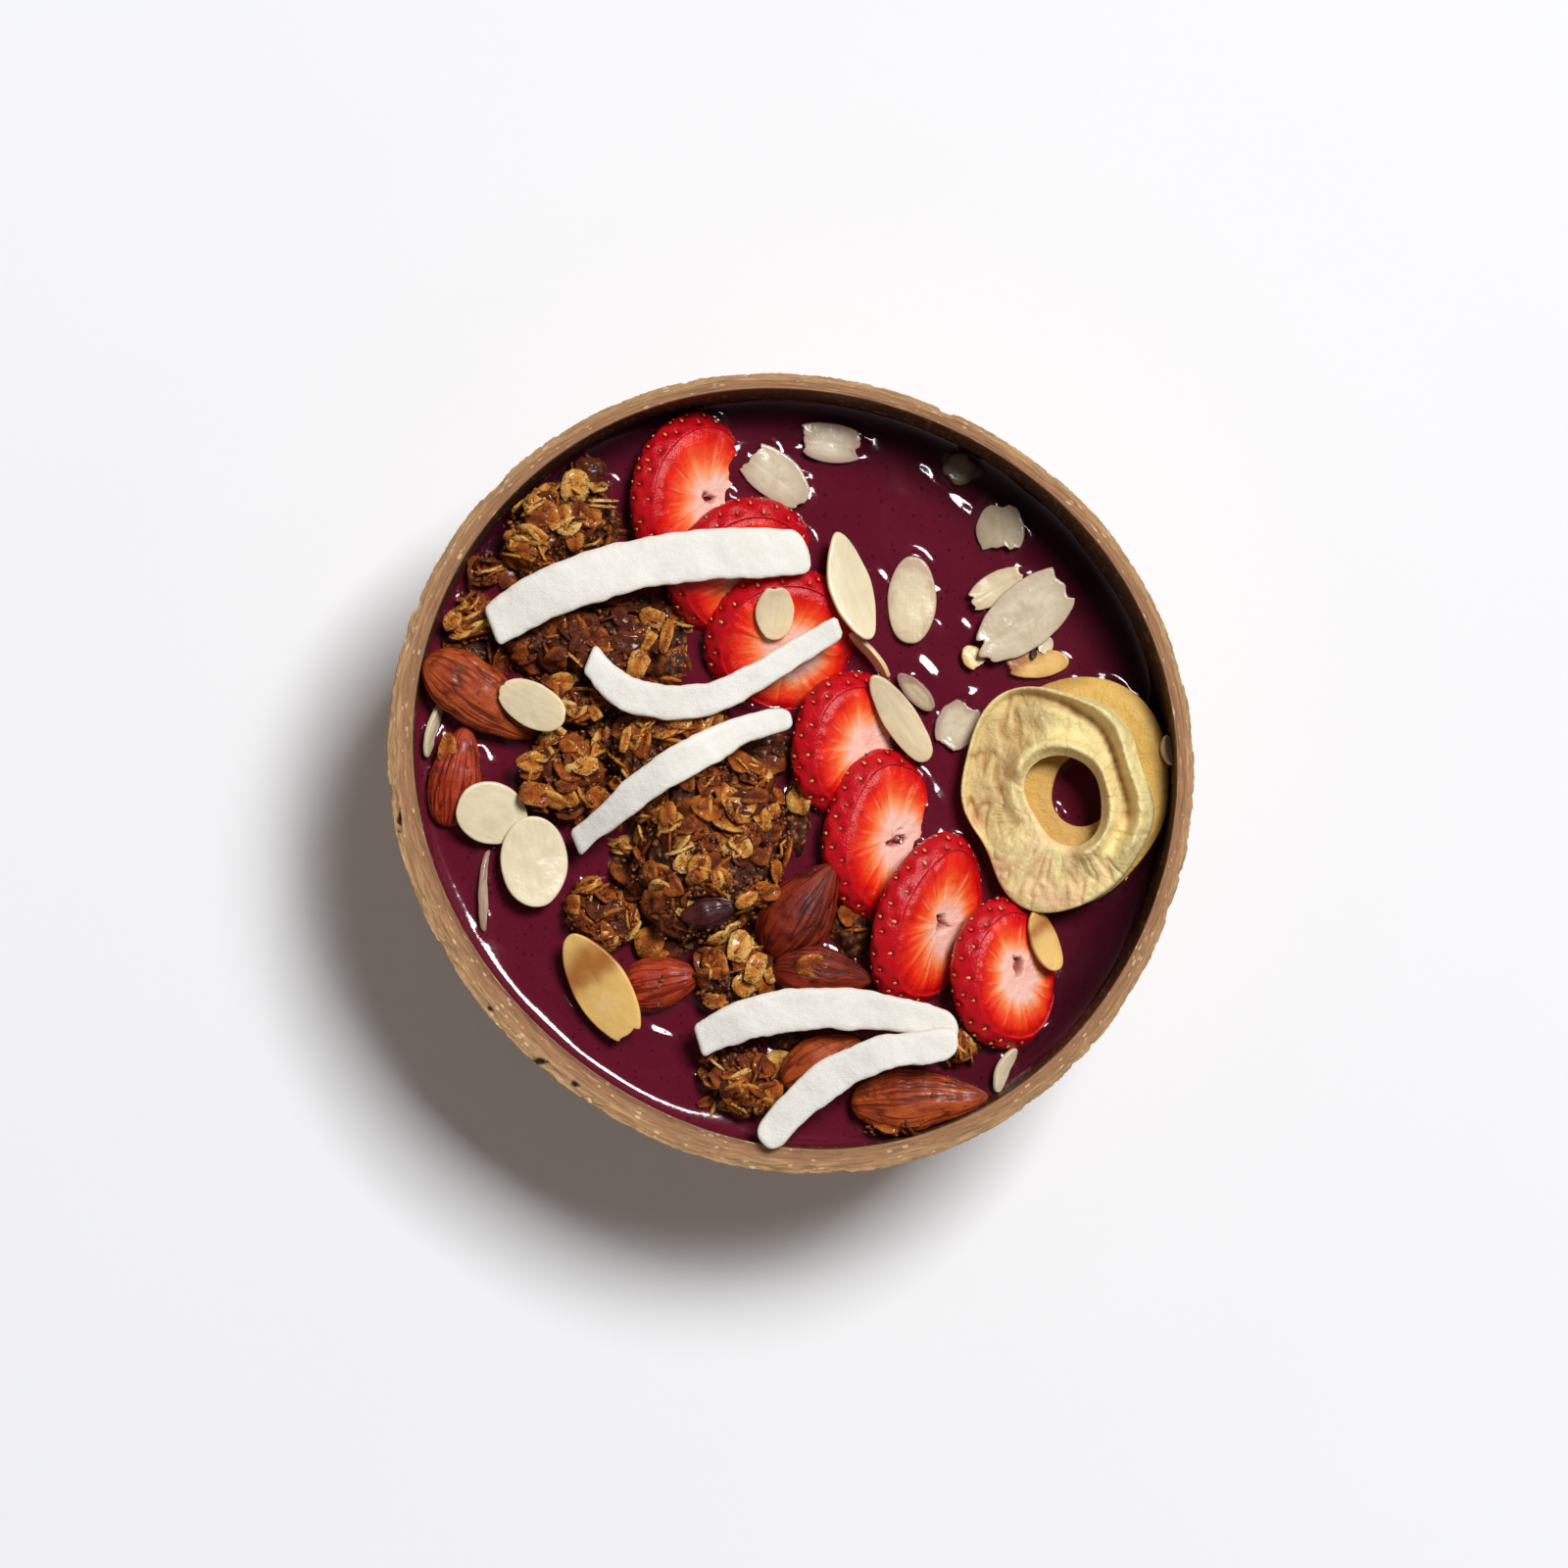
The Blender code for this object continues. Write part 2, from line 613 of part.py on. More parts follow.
def make_strip(name, row, heap, material, collection):
    """A coconut strip laid over the heap: a flat band along a curved line."""
    line, first_width, last_width = row
    middle = spline(np.array(line), STRIP_STATIONS)
    along = np.gradient(middle, axis=0)
    along /= np.linalg.norm(along, axis=1)[:, None]
    side = np.stack((-along[:, 1], along[:, 0]), axis=1)
    half = np.linspace(first_width, last_width, STRIP_STATIONS) / 2
    ground = heap.widened(np.maximum(heap.ground(), heap.rim))
    support = np.full(STRIP_STATIONS, -1.0)
    for share in (-1.0, -0.5, 0.0, 0.5, 1.0):
        plan = (middle + side * (half * share)[:, None]) * MM
        cells = np.rint((plan + GRID_HALF) / GRID_STEP).astype(int)
        support = np.maximum(support, ground[cells[:, 0], cells[:, 1]])
    distance = np.concatenate(([0.0], np.cumsum(np.linalg.norm(np.diff(middle, axis=0), axis=1))))
    height = taut(distance, support / MM)
    height = np.convolve(np.pad(height, 1, mode="edge"), STRIP_SMOOTHING, mode="valid")
    bm = bmesh.new()
    bmesh.ops.create_grid(bm, x_segments=STRIP_STATIONS - 1, y_segments=2, size=1.0)
    obj = object_from(bm, name, material, collection)
    points = points_of(obj)
    station = np.rint((points[:, 0] + 1) / 2 * (STRIP_STATIONS - 1)).astype(int)
    reach = half[station] * points[:, 1]
    plan = middle[station] + side[station] * reach[:, None]
    lifted = height[station] + STRIP_THICKNESS
    reshape(obj, np.column_stack((plan, lifted)) * MM)
    shell = obj.modifiers.new("thickness", "SOLIDIFY")
    shell.thickness = STRIP_THICKNESS * MM
    shell.offset = 0.0
    bake(obj)
    return obj


# ---- The whole bowl ----


def carve_all(targets, piece, collection):
    for target in targets:
        carve(target, piece, collection)


def make_pressed(flake_material, heap, collection):
    """The pieces that share the heap's room: granola, nuts, strawberries and flakes on edge."""
    material = make_material("granola")
    rows = enumerate(GRANOLA, 1)
    lumps = [make_lump(f"granola_{n:02d}", row, n, material, collection) for n, row in rows]
    material = make_material("almond")
    rows = enumerate(ALMONDS, 1)
    nuts = [make_almond(f"almond_{n}", row, material, collection) for n, row in rows]
    fruit = make_almond("dried_fruit", DRIED_FRUIT, make_material("dried_fruit"), collection)
    material = make_material("strawberry")
    rows = enumerate(STRAWBERRIES, 1)
    slices = [make_slice(f"strawberry_{n}", row, n, material, collection) for n, row in rows]
    flakes = []
    for n, row in enumerate(EDGE_FLAKES, 1 + len(LOWER_FLAKES) + len(UPPER_FLAKES)):
        name = f"almond_flake_{n:02d}"
        flakes.append(make_flake(name, row[:-1], row[-1], n, flake_material, collection))
    pieces = [*lumps, *nuts, fruit, *slices, *flakes]
    for number, piece in enumerate(pieces):
        heap.tuck(piece)
        carve_all(pieces[:number], piece, collection)
    return pieces


def lay(piece, lean, heap):
    """Lean a piece on what lies under it, drop it there and add it to the heap."""
    if lean:
        heap.lean_on(piece, lean)
    heap.drop(piece)
    heap.add(piece)


def lay_flakes(rows, first, heap, material, collection):
    for number, row in enumerate(rows, first):
        name = f"almond_flake_{number:02d}"
        flake = make_flake(name, row, FLAKE_START, number, material, collection)
        lay(flake, MOST_LEAN, heap)


def lay_apple(heap, collection):
    material = make_material("apple")
    for number, row in enumerate(APPLE_RINGS, 1):
        ring = make_apple_ring(f"apple_ring_{number}", row, material, collection)
        lay(ring, 0 if row[7] else APPLE_LEAN, heap)


def lay_strips(heap, collection):
    material = make_material("coconut")
    for number, row in enumerate(STRIPS, 1):
        strip = make_strip(f"coconut_strip_{number}", row, heap, material, collection)
        lay(strip, 0, heap)


def main():
    clear_scene()
    collection = make_collection()
    shell, off_centre = make_shell(collection)
    puree = make_puree(off_centre, collection)
    heap = Heap(shell)
    material = make_material("flake")
    for piece in make_pressed(material, heap, collection):
        if points_of(piece)[:, 2].min() < LEVEL * MM:
            carve(puree, piece, collection)
        heap.add(piece)
    lay_flakes(LOWER_FLAKES, 1, heap, material, collection)
    lay_apple(heap, collection)
    lay_flakes(UPPER_FLAKES, len(LOWER_FLAKES) + 1, heap, material, collection)
    lay_strips(heap, collection)


if __name__ == "__main__":
    main()
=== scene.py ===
"""Acai bowl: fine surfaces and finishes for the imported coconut-shell bowl and all it holds.

Laid out as an add-on and run as a script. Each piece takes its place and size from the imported
frame. Sizes in the tables and the shape functions are in millimetres; properties are in Blender's
own units.
"""

from itertools import product
from math import cos, pi, radians, sin

import bpy
import numpy as np
from bpy.props import FloatProperty, FloatVectorProperty, PointerProperty
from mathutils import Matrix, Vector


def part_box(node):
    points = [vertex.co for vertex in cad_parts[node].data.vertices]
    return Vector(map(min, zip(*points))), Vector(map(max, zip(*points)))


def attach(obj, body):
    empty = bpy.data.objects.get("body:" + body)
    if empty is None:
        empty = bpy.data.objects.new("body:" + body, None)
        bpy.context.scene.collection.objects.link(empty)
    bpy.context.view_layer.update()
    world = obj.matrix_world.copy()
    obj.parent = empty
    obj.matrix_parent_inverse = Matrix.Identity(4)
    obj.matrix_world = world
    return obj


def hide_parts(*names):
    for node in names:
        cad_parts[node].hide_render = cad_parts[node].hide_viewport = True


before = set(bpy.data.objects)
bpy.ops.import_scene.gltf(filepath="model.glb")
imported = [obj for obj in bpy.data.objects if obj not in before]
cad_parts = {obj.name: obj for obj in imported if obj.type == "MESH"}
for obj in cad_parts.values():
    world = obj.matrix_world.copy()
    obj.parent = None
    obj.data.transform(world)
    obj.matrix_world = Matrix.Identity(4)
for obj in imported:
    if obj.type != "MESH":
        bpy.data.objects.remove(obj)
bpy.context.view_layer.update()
MM = 0.001

bl_info = {
    "name": "Acai bowl",
    "version": (1, 0, 0),
    "blender": (4, 5, 0),
    "location": "3D View > Sidebar > Acai bowl",
    "description": "Builds the surfaces and finishes of a coconut-shell bowl of fruit and granola",
    "category": "Add Mesh",
}

STRAWBERRIES = [f"strawberry_{n}" for n in range(1, 8)]
ALMONDS = [f"almond_{n}" for n in range(1, 8)]
LUMPS = [f"granola_{n:02d}" for n in range(1, 14)]
FLAKES = [f"almond_flake_{n:02d}" for n in range(1, 23)]
STRIPS = [f"coconut_strip_{n}" for n in range(1, 6)]


def linear(red, green, blue):
    """A colour given as 0 to 255 display values, as the linear values that a shader takes."""
    share = np.array((red, green, blue)) / 255
    curved = ((share + 0.055) / 1.055) ** 2.4
    return tuple(float(c) for c in np.where(share < 0.04045, share / 12.92, curved))


def darker(colour, factor):
    return tuple(factor * c for c in colour)


def colour_property(name, description, *display):
    """A colour setting with its default as display values."""
    return FloatVectorProperty(name=name, description=description, subtype="COLOR", default=linear(*display))


def length_property(name, description, millimetres):
    """A length setting with its default in millimetres."""
    return FloatProperty(
        name=name, description=description, subtype="DISTANCE", unit="LENGTH", default=millimetres * MM,
    )


# ---- Reading the frame, in millimetres ----


def corners(node):
    """The node's triangles as an array of triangles x 3 corners x 3 coordinates."""
    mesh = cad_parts[node].data
    mesh.calc_loop_triangles()
    points = np.empty(len(mesh.vertices) * 3, np.float32)
    mesh.vertices.foreach_get("co", points)
    index = np.empty(len(mesh.loop_triangles) * 3, np.int32)
    mesh.loop_triangles.foreach_get("vertices", index)
    return points.reshape(-1, 3)[index].reshape(-1, 3, 3).astype(float) / MM


def own_points(node):
    """The node's corners, each once."""
    return np.unique(corners(node).reshape(-1, 3).round(3), axis=0)


def areas_and_normals(triangles):
    """Half the length of the cross product of two sides, and its direction."""
    cross = np.cross(triangles[:, 1] - triangles[:, 0], triangles[:, 2] - triangles[:, 0])
    size = np.linalg.norm(cross, axis=1)
    return size / 2, cross / np.maximum(size, 1e-9)[:, None]


def cast_down(plan, node):
    """Height of the node's top above each plan point, NaN beside it.

    For each triangle the point's three area shares are worked out in plan; where all are
    positive, the height is the corners' heights weighted by them, and the highest one counts.
    """
    a, b, c = np.moveaxis(corners(node), 1, 0)
    point = plan[:, None, :]

    def twice_area(p, q, r):
        first, second = q[..., :2] - p[..., :2], r[..., :2] - p[..., :2]
        return first[..., 0] * second[..., 1] - first[..., 1] * second[..., 0]

    whole = twice_area(a, b, c)
    usable = np.abs(whole) > 1e-6
    whole = np.where(usable, whole, 1.0)
    share_a = twice_area(point, b, c) / whole
    share_b = twice_area(point, c, a) / whole
    share_c = 1 - share_a - share_b
    inside = usable & (share_a >= 0) & (share_b >= 0) & (share_c >= 0)
    height = share_a * a[:, 2] + share_b * b[:, 2] + share_c * c[:, 2]
    top = np.where(inside, height, -np.inf).max(axis=1)
    return np.where(np.isfinite(top), top, np.nan)


ELLIPSE_ROUNDS = 300


def enclosing_ellipsoid(points):
    """The smallest ellipse or ellipsoid round some points: centre, axes as rows, half lengths.

    Weights shift, round by round, to the point that stands out most; their mean is the centre
    and their spread gives the axes, longest first.
    """
    count, size = points.shape
    lifted = np.vstack((points.T, np.ones(count)))
    weight = np.full(count, 1 / count)
    for _ in range(ELLIPSE_ROUNDS):
        spread = np.linalg.inv((lifted * weight) @ lifted.T)
        reach = np.einsum("in,ij,jn->n", lifted, spread, lifted)
        far = reach.argmax()
        step = (reach[far] - size - 1) / ((size + 1) * (reach[far] - 1))
        weight *= 1 - step
        weight[far] += step
    centre = points.T @ weight
    spread = (points.T * weight) @ points - np.outer(centre, centre)
    squares, axes = np.linalg.eigh(spread * size)
    order = np.argsort(-squares)
    return centre, axes.T[order], np.sqrt(squares[order])


def flat_face(node):
    """The ellipse round a node's largest flat upward face: centre, axes and half sizes.

    The axes are along, across and up.
    """
    triangles = corners(node)
    size, normal = areas_and_normals(triangles)
    offset = (triangles[:, 0] * normal).sum(1)
    alike = (normal @ normal.T > 0.9995) & (np.abs(offset[:, None] - offset) < 0.1)
    total = np.where(normal[:, 2] > 0.05, alike @ size, 0)
    face = triangles[alike[total.argmax()]].reshape(-1, 3)
    up = normal[total.argmax()]
    along = np.cross((0.0, 1.0, 0.0), up)
    along /= np.linalg.norm(along)
    across = np.cross(up, along)
    middle = face.mean(0)
    plan = np.stack(((face - middle) @ along, (face - middle) @ across), axis=1)
    centre, axes, half = enclosing_ellipsoid(np.unique(plan.round(3), axis=0))
    first = axes[0, 0] * along + axes[0, 1] * across
    centre = middle + centre[0] * along + centre[1] * across
    return centre, np.array((first, np.cross(up, first), up)), half


def solid_axes(node):
    """The ellipsoid round a node: centre, axes as rows (length, width, thickness up), half sizes."""
    centre, axes, half = enclosing_ellipsoid(own_points(node))
    if axes[2, 2] < 0:
        axes[2] *= -1
    axes[1] = np.cross(axes[2], axes[0])
    return centre, axes, half


# ---- Shapes as arrays ----


def random_lattice(cell, seed):
    """A repeatable random value from -1 to 1 for each whole-numbered cell."""
    mixed = cell[..., 0] * 73856093 ^ cell[..., 1] * 19349663 ^ cell[..., 2] * 83492791
    mixed = (mixed + seed * 374761393) & 0xFFFFFFFF
    mixed = (mixed ^ (mixed >> 15)) * 2246822519 & 0xFFFFFFFF
    mixed = (mixed ^ (mixed >> 13)) * 3266489917 & 0xFFFFFFFF
    return ((mixed ^ (mixed >> 16)) & 0xFFFFFF) / 0x7FFFFF - 1


def bumps(points, size, seed=0, octaves=1):
    """Smooth noise from -1 to 1: random values on a lattice of a size, blended between corners."""
    total = np.zeros(points.shape[:-1])
    place = points / size
    for octave in range(octaves):
        cell = np.floor(place).astype(np.int64)
        part = place - cell
        part = part**3 * (part * (part * 6 - 15) + 10)
        for corner in product((0, 1), repeat=3):
            share = np.prod(np.where(corner, part, 1 - part), axis=-1)
            total += 0.5**octave * share * random_lattice(cell + np.array(corner), seed + octave)
        place = place * 2.03 + 11.7
    return total


def smooth(low, high, value):
    """0 below low, 1 above high and an S-curve between."""
    share = np.clip((value - low) / (high - low), 0, 1)
    return share * share * (3 - 2 * share)


def lobe(angle, first, last, soft):
    """1 for angles from first to last (degrees), 0 beyond, with soft ends."""
    middle, half = radians((first + last) / 2), radians(last - first) / 2
    away = np.abs((angle - middle + pi) % (2 * pi) - pi)
    return 1 - smooth(half - radians(soft), half + radians(soft), away)


def turns(count):
    """Evenly spaced angles of one whole turn."""
    return np.linspace(0, 2 * pi, count, endpoint=False)


def stacked(*parts):
    """Coordinates, or other parts, each spread to the shape of all and put side by side."""
    return np.stack(np.broadcast_arrays(*parts), axis=-1)


def unit(vectors):
    return vectors / np.linalg.norm(vectors, axis=1)[:, None]


def distance_along(path):
    """How far along a path each of its points lies."""
    return np.concatenate(([0.0], np.cumsum(np.linalg.norm(np.diff(path, axis=0), axis=1))))


def round_about(samples, azimuth):
    """The smooth closed curve through evenly spaced samples, as the sum of their waves."""
    waves = np.fft.rfft(samples) / len(samples)
    waves[1:] *= 2
    order = np.arange(len(waves))
    return (waves * np.exp(1j * np.multiply.outer(azimuth, order))).real.sum(-1)


def spline(points, share):
    """A Catmull-Rom curve through points, read at shares from 0 to 1 of its spans."""
    points = np.asarray(points, float)
    ends = np.concatenate(([2 * points[0] - points[1]], points, [2 * points[-1] - points[-2]]))
    place = np.asarray(share) * (len(points) - 1)
    span = np.clip(place.astype(int), 0, len(points) - 2)
    u = (place - span)[:, None]
    a, b, c, d = (ends[span + k] for k in range(4))
    square = 2 * a - 5 * b + 4 * c - d
    cube = 3 * b - a - 3 * c + d
    return (2 * b + (c - a) * u + square * u**2 + cube * u**3) / 2


def closed_grid(points):
    """Faces of a grid of rows x columns whose columns close round and whose ends are poles.

    The poles are the means of the first and the last row. Gives points, quads and triangles.
    """
    rows, columns = points.shape[:2]
    column = np.arange(columns)
    beside = (column + 1) % columns
    row = np.arange(rows - 1)[:, None] * columns
    quads = stacked(row + column, row + beside, row + columns + beside, row + columns + column)
    first, last = rows * columns, rows * columns + 1
    end = (rows - 1) * columns
    fan_a = stacked(first, beside, column)
    fan_b = stacked(last, end + column, end + beside)
    everything = np.concatenate((points.reshape(-1, 3), [points[0].mean(0)], [points[-1].mean(0)]))
    return everything, quads.reshape(-1, 4), np.concatenate((fan_a, fan_b))


def closed_values(values):
    """Per-point values for closed_grid's points, the poles taking their row's mean."""
    flat = values.reshape(values.shape[0] * values.shape[1], *values.shape[2:])
    return np.concatenate((flat, [values[0].mean(0)], [values[-1].mean(0)]))


def ring_grid(points):
    """Faces of a grid that closes round both ways."""
    rows, columns = points.shape[:2]
    row = np.arange(rows)[:, None]
    column = np.arange(columns)
    next_row, beside = (row + 1) % rows, (column + 1) % columns
    here, beyond = row * columns, next_row * columns
    quads = stacked(here + column, here + beside, beyond + beside, beyond + column)
    return points.reshape(-1, 3), quads.reshape(-1, 4), np.empty((0, 3), int)


def repeated(points, quads, triangles):
    """Many copies of one grid, points being copies x points x 3, as one set of points and faces."""
    copies, count = points.shape[:2]
    shift = (np.arange(copies) * count)[:, None, None]
    return points.reshape(-1, 3), (quads + shift).reshape(-1, 4), (triangles + shift).reshape(-1, 3)


def outward(points, quads, triangles):
    """Turn the faces round if they enclose a negative volume."""
    halves = np.concatenate((quads[:, :3], quads[:, [0, 2, 3]], triangles))
    a, b, c = (points[halves[:, k]] for k in range(3))
    if (a * np.cross(b, c)).sum() < 0:
        return quads[:, ::-1], triangles[:, ::-1]
    return quads, triangles


def placed(name, data):
    """An object put into the scene."""
    obj = bpy.data.objects.new(name, data)
    bpy.context.scene.collection.objects.link(obj)
    return obj


def make_piece(name, shape, material, slot, nodes=(), **attributes):
    """One object from points in millimetres and faces, with its attributes, riding on the body."""
    points, quads, triangles = shape
    quads, triangles = outward(points, quads, triangles)
    mesh = bpy.data.meshes.new(name)
    mesh.vertices.add(len(points))
    mesh.vertices.foreach_set("co", (points * MM).astype(np.float32).ravel())
    mesh.loops.add(quads.size + triangles.size)
    loops = np.concatenate((quads.ravel(), triangles.ravel()))
    mesh.loops.foreach_set("vertex_index", loops.astype(np.int32))
    starts = np.concatenate((np.arange(len(quads)) * 4, quads.size + np.arange(len(triangles)) * 3))
    mesh.polygons.add(len(starts))
    mesh.polygons.foreach_set("loop_start", starts.astype(np.int32))
    mesh.update(calc_edges=True)
    mesh.validate()
    mesh.shade_smooth()
    for key, values in attributes.items():
        kind, field = ("FLOAT", "value") if values.ndim == 1 else ("FLOAT_VECTOR", "vector")
        layer = mesh.attributes.new(key, kind, "POINT")
        layer.data.foreach_set(field, values.astype(np.float32).ravel())
    mesh.materials.append(material)
    obj = placed(name, mesh)
    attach(obj, "root")
    if nodes:
        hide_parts(*nodes)


# ---- Node trees ----


SHADER_INPUTS = {
    "colour": "Base Color",
    "roughness": "Roughness",
    "specular": "Specular IOR Level",
    "coat": "Coat Weight",
    "coat_roughness": "Coat Roughness",
    "coat_ior": "Coat IOR",
    "normal": "Normal",
}


class Tree:
    """A node tree of a material or a group, with short ways to add its nodes."""

    def __init__(self, tree):
        self.tree = tree

    def node(self, kind, inputs=(), **settings):
        """A new node: its settings first, because they give it its sockets, then its inputs."""
        node = self.tree.nodes.new(kind)
        for key, value in settings.items():
            setattr(node, key, value)
        for key, value in dict(inputs).items():
            self.feed(node.inputs[key], value)
        return node

    def feed(self, socket, value):
        """Link a socket to another one, or set its value; a colour may leave out its alpha."""
        if isinstance(value, bpy.types.NodeSocket):
            self.tree.links.new(value, socket)
        elif socket.type == "RGBA" and len(value) == 3:
            socket.default_value = (*value, 1.0)
        else:
            socket.default_value = value

    def place(self):
        """Object coordinates in millimetres."""
        return self.scaled(self.node("ShaderNodeTexCoord").outputs["Object"], 1 / MM)

    def attribute(self, name, output="Fac"):
        return self.node("ShaderNodeAttribute", attribute_name=name).outputs[output]

    def scaled(self, vector, scale):
        """A vector scaled alike on all axes, or by a factor for each."""
        scale = scale if isinstance(scale, tuple) else (scale, scale, scale)
        return self.node("ShaderNodeMapping", {"Vector": vector, "Scale": scale}).outputs["Vector"]

    def noise(self, vector, scale, detail=2.0, roughness=0.5, distortion=0.0):
        inputs = {
            "Vector": vector, "Scale": scale, "Detail": detail, "Roughness": roughness,
            "Distortion": distortion,
        }
        return self.node("ShaderNodeTexNoise", inputs).outputs["Fac"]

    def cell_edges(self, vector, scale):
        """Distance from the nearest border between scattered cells."""
        inputs = {"Vector": vector, "Scale": scale, "Randomness": 1.0}
        node = self.node("ShaderNodeTexVoronoi", inputs, feature="DISTANCE_TO_EDGE")
        return node.outputs["Distance"]

    def math(self, operation, a, b):
        return self.node("ShaderNodeMath", {0: a, 1: b}, operation=operation).outputs[0]

    def times(self, a, b):
        return self.math("MULTIPLY", a, b)

    def plus(self, a, b):
        return self.math("ADD", a, b)

    def between(self, value, low, high, first=0.0, last=1.0, kind="SMOOTHSTEP"):
        """The value's place from low to high, carried over to first to last."""
        inputs = {"Value": value, "From Min": low, "From Max": high, "To Min": first, "To Max": last}
        return self.node("ShaderNodeMapRange", inputs, interpolation_type=kind).outputs["Result"]

    def ramp(self, value, *stops):
        """The value as a colour, between stops of a place and a colour."""
        node = self.node("ShaderNodeValToRGB", {"Fac": value})
        ramp = node.color_ramp
        while len(ramp.elements) < len(stops):
            ramp.elements.new(0.5)
        for element, (place, colour) in zip(ramp.elements, stops):
            element.position = place
            element.color = (*colour, 1.0)
        return node.outputs["Color"]

    def mix(self, share, a, b):
        """From colour a at share 0 to colour b at share 1."""
        node = self.node("ShaderNodeMix", data_type="RGBA")
        for index, value in ((0, share), (6, a), (7, b)):
            self.feed(node.inputs[index], value)
        return node.outputs[2]

    def bump(self, height, distance):
        inputs = {"Height": height, "Distance": distance * MM, "Strength": 1.0}
        return self.node("ShaderNodeBump", inputs).outputs["Normal"]

    def group(self, name, **inputs):
        """A shared group with its own values in this tree."""
        return self.node("ShaderNodeGroup", inputs, node_tree=shared(name)).outputs

    def mottle(self, vector, size, contrast):
        return self.group("Mottle", Vector=vector, Size=size, Contrast=contrast)["Value"]

    def specks(self, vector, spacing, size, share):
        return self.group("Specks", Vector=vector, Spacing=spacing, Size=size, Share=share)["Mask"]

    def finish(self, **inputs):
        """Feed the Principled shader's inputs, named as in SHADER_INPUTS."""
        shader = self.tree.nodes["Principled BSDF"].inputs
        for key, value in inputs.items():
            self.feed(shader[SHADER_INPUTS[key]], value)


def new_group(name, inputs, outputs):
    """An empty shader group with named inputs (name: default) and number outputs."""
    group = bpy.data.node_groups.new(name, "ShaderNodeTree")
    for key, default in inputs.items():
        kind = "NodeSocketFloat" if isinstance(default, float) else "NodeSocketVector"
        socket = group.interface.new_socket(key, in_out="INPUT", socket_type=kind)
        socket.default_value = default
    for key in outputs:
        group.interface.new_socket(key, in_out="OUTPUT", socket_type="NodeSocketFloat")
    tree = Tree(group)
    return group, tree, tree.node("NodeGroupInput").outputs, tree.node("NodeGroupOutput").inputs


def specks_group():
    """Scattered dots: round the middles of a share of the cells, each of its own size."""
    group, tree, given, put = new_group(
        "Specks", {"Vector": (0.0, 0.0, 0.0), "Spacing": 1.0, "Size": 0.2, "Share": 0.5}, ("Mask",)
    )
    scale = tree.math("DIVIDE", 1.0, given["Spacing"])
    cell = tree.node("ShaderNodeTexVoronoi", {"Vector": given["Vector"], "Scale": scale})
    chance = tree.node("ShaderNodeSeparateColor", {"Color": cell.outputs["Color"]})
    kept = tree.math("LESS_THAN", chance.outputs["Red"], given["Share"])
    size = tree.times(given["Size"], chance.outputs["Green"])
    dot = tree.math("LESS_THAN", cell.outputs["Distance"], size)
    tree.feed(put["Mask"], tree.times(kept, dot))
    return group


def mottle_group():
    """Soft blotches: a warped noise drawn out to more or less contrast about one half."""
    group, tree, given, put = new_group(
        "Mottle", {"Vector": (0.0, 0.0, 0.0), "Size": 5.0, "Contrast": 1.0}, ("Value",)
    )
    scale = tree.math("DIVIDE", 1.0, given["Size"])
    value = tree.noise(given["Vector"], scale, 4.0, 0.6, 0.4)
    centred = tree.times(tree.math("SUBTRACT", value, 0.5), given["Contrast"])
    tree.feed(put["Value"], tree.plus(centred, 0.5))
    return group


def fibres_group():
    """Fibres: a noise over the grain as the streaks, and a finer one added to it as the ridges."""
    group, tree, given, put = new_group(
        "Fibres", {"Grain": (0.0, 0.0, 0.0), "Fineness": 1.0}, ("Streak", "Ridge")
    )
    coarse = tree.noise(given["Grain"], given["Fineness"], 3.0, 0.6)
    fine = tree.noise(given["Grain"], tree.times(given["Fineness"], 2.7), 2.0, 0.5)
    tree.feed(put["Streak"], coarse)
    ridge = tree.plus(tree.times(coarse, 0.6), tree.times(fine, 0.4))
    tree.feed(put["Ridge"], ridge)
    return group


GROUPS = {}


def shared(name):
    """A shared group, made when it is first asked for."""
    makers = {"Specks": specks_group, "Mottle": mottle_group, "Fibres": fibres_group}
    if name not in GROUPS:
        GROUPS[name] = makers[name]()
    return GROUPS[name]


def new_material(name):
    """A material and the tree of its nodes, to be finished by the caller."""
    material = bpy.data.materials.new(name)
    material.use_nodes = True
    return material, Tree(material.node_tree)


# ---- Coconut shell ----


class ShellSettings(bpy.types.PropertyGroup):
    cut: colour_property("Sawn rim", "Colour of the hard shell where it is sawn", 172, 126, 90)
    husk: colour_property("Husk", "Colour of the fibrous outside", 192, 150, 106)
    inside: colour_property("Inside", "Colour of the polished inner wall", 84, 52, 32)
    chip: length_property("Chips", "Depth of the chips in the rim's outer edge", 0.9)


SHELL_TURNS = 1080
FOOT_RADIUS = 19.0
FLOOR = 5.0
OUTER_ROWS = 44
RIM_ROWS = 22
INNER_ROWS = 26
SWELL_POWER = 0.7
# How far the rim's shoulder is raised towards its crest, as a share.
SQUARED = 0.8
# The height is drawn down by this factor, which keeps the noise in it below the node's top.
UNDER_BOX = 0.999
# Pits in the rim, dented and painted near black as the shade inside a crack: place in plan and radii along x
# and y.
PITS = (
    ((-68.3, -7.7), (0.6, 2.6)), ((-43.8, -50.4), (1.3, 0.7)), ((-37.6, -54.2), (0.8, 0.6)),
    ((-52.4, -41.0), (0.5, 0.4)),
)
PIT_DEPTH = 0.5


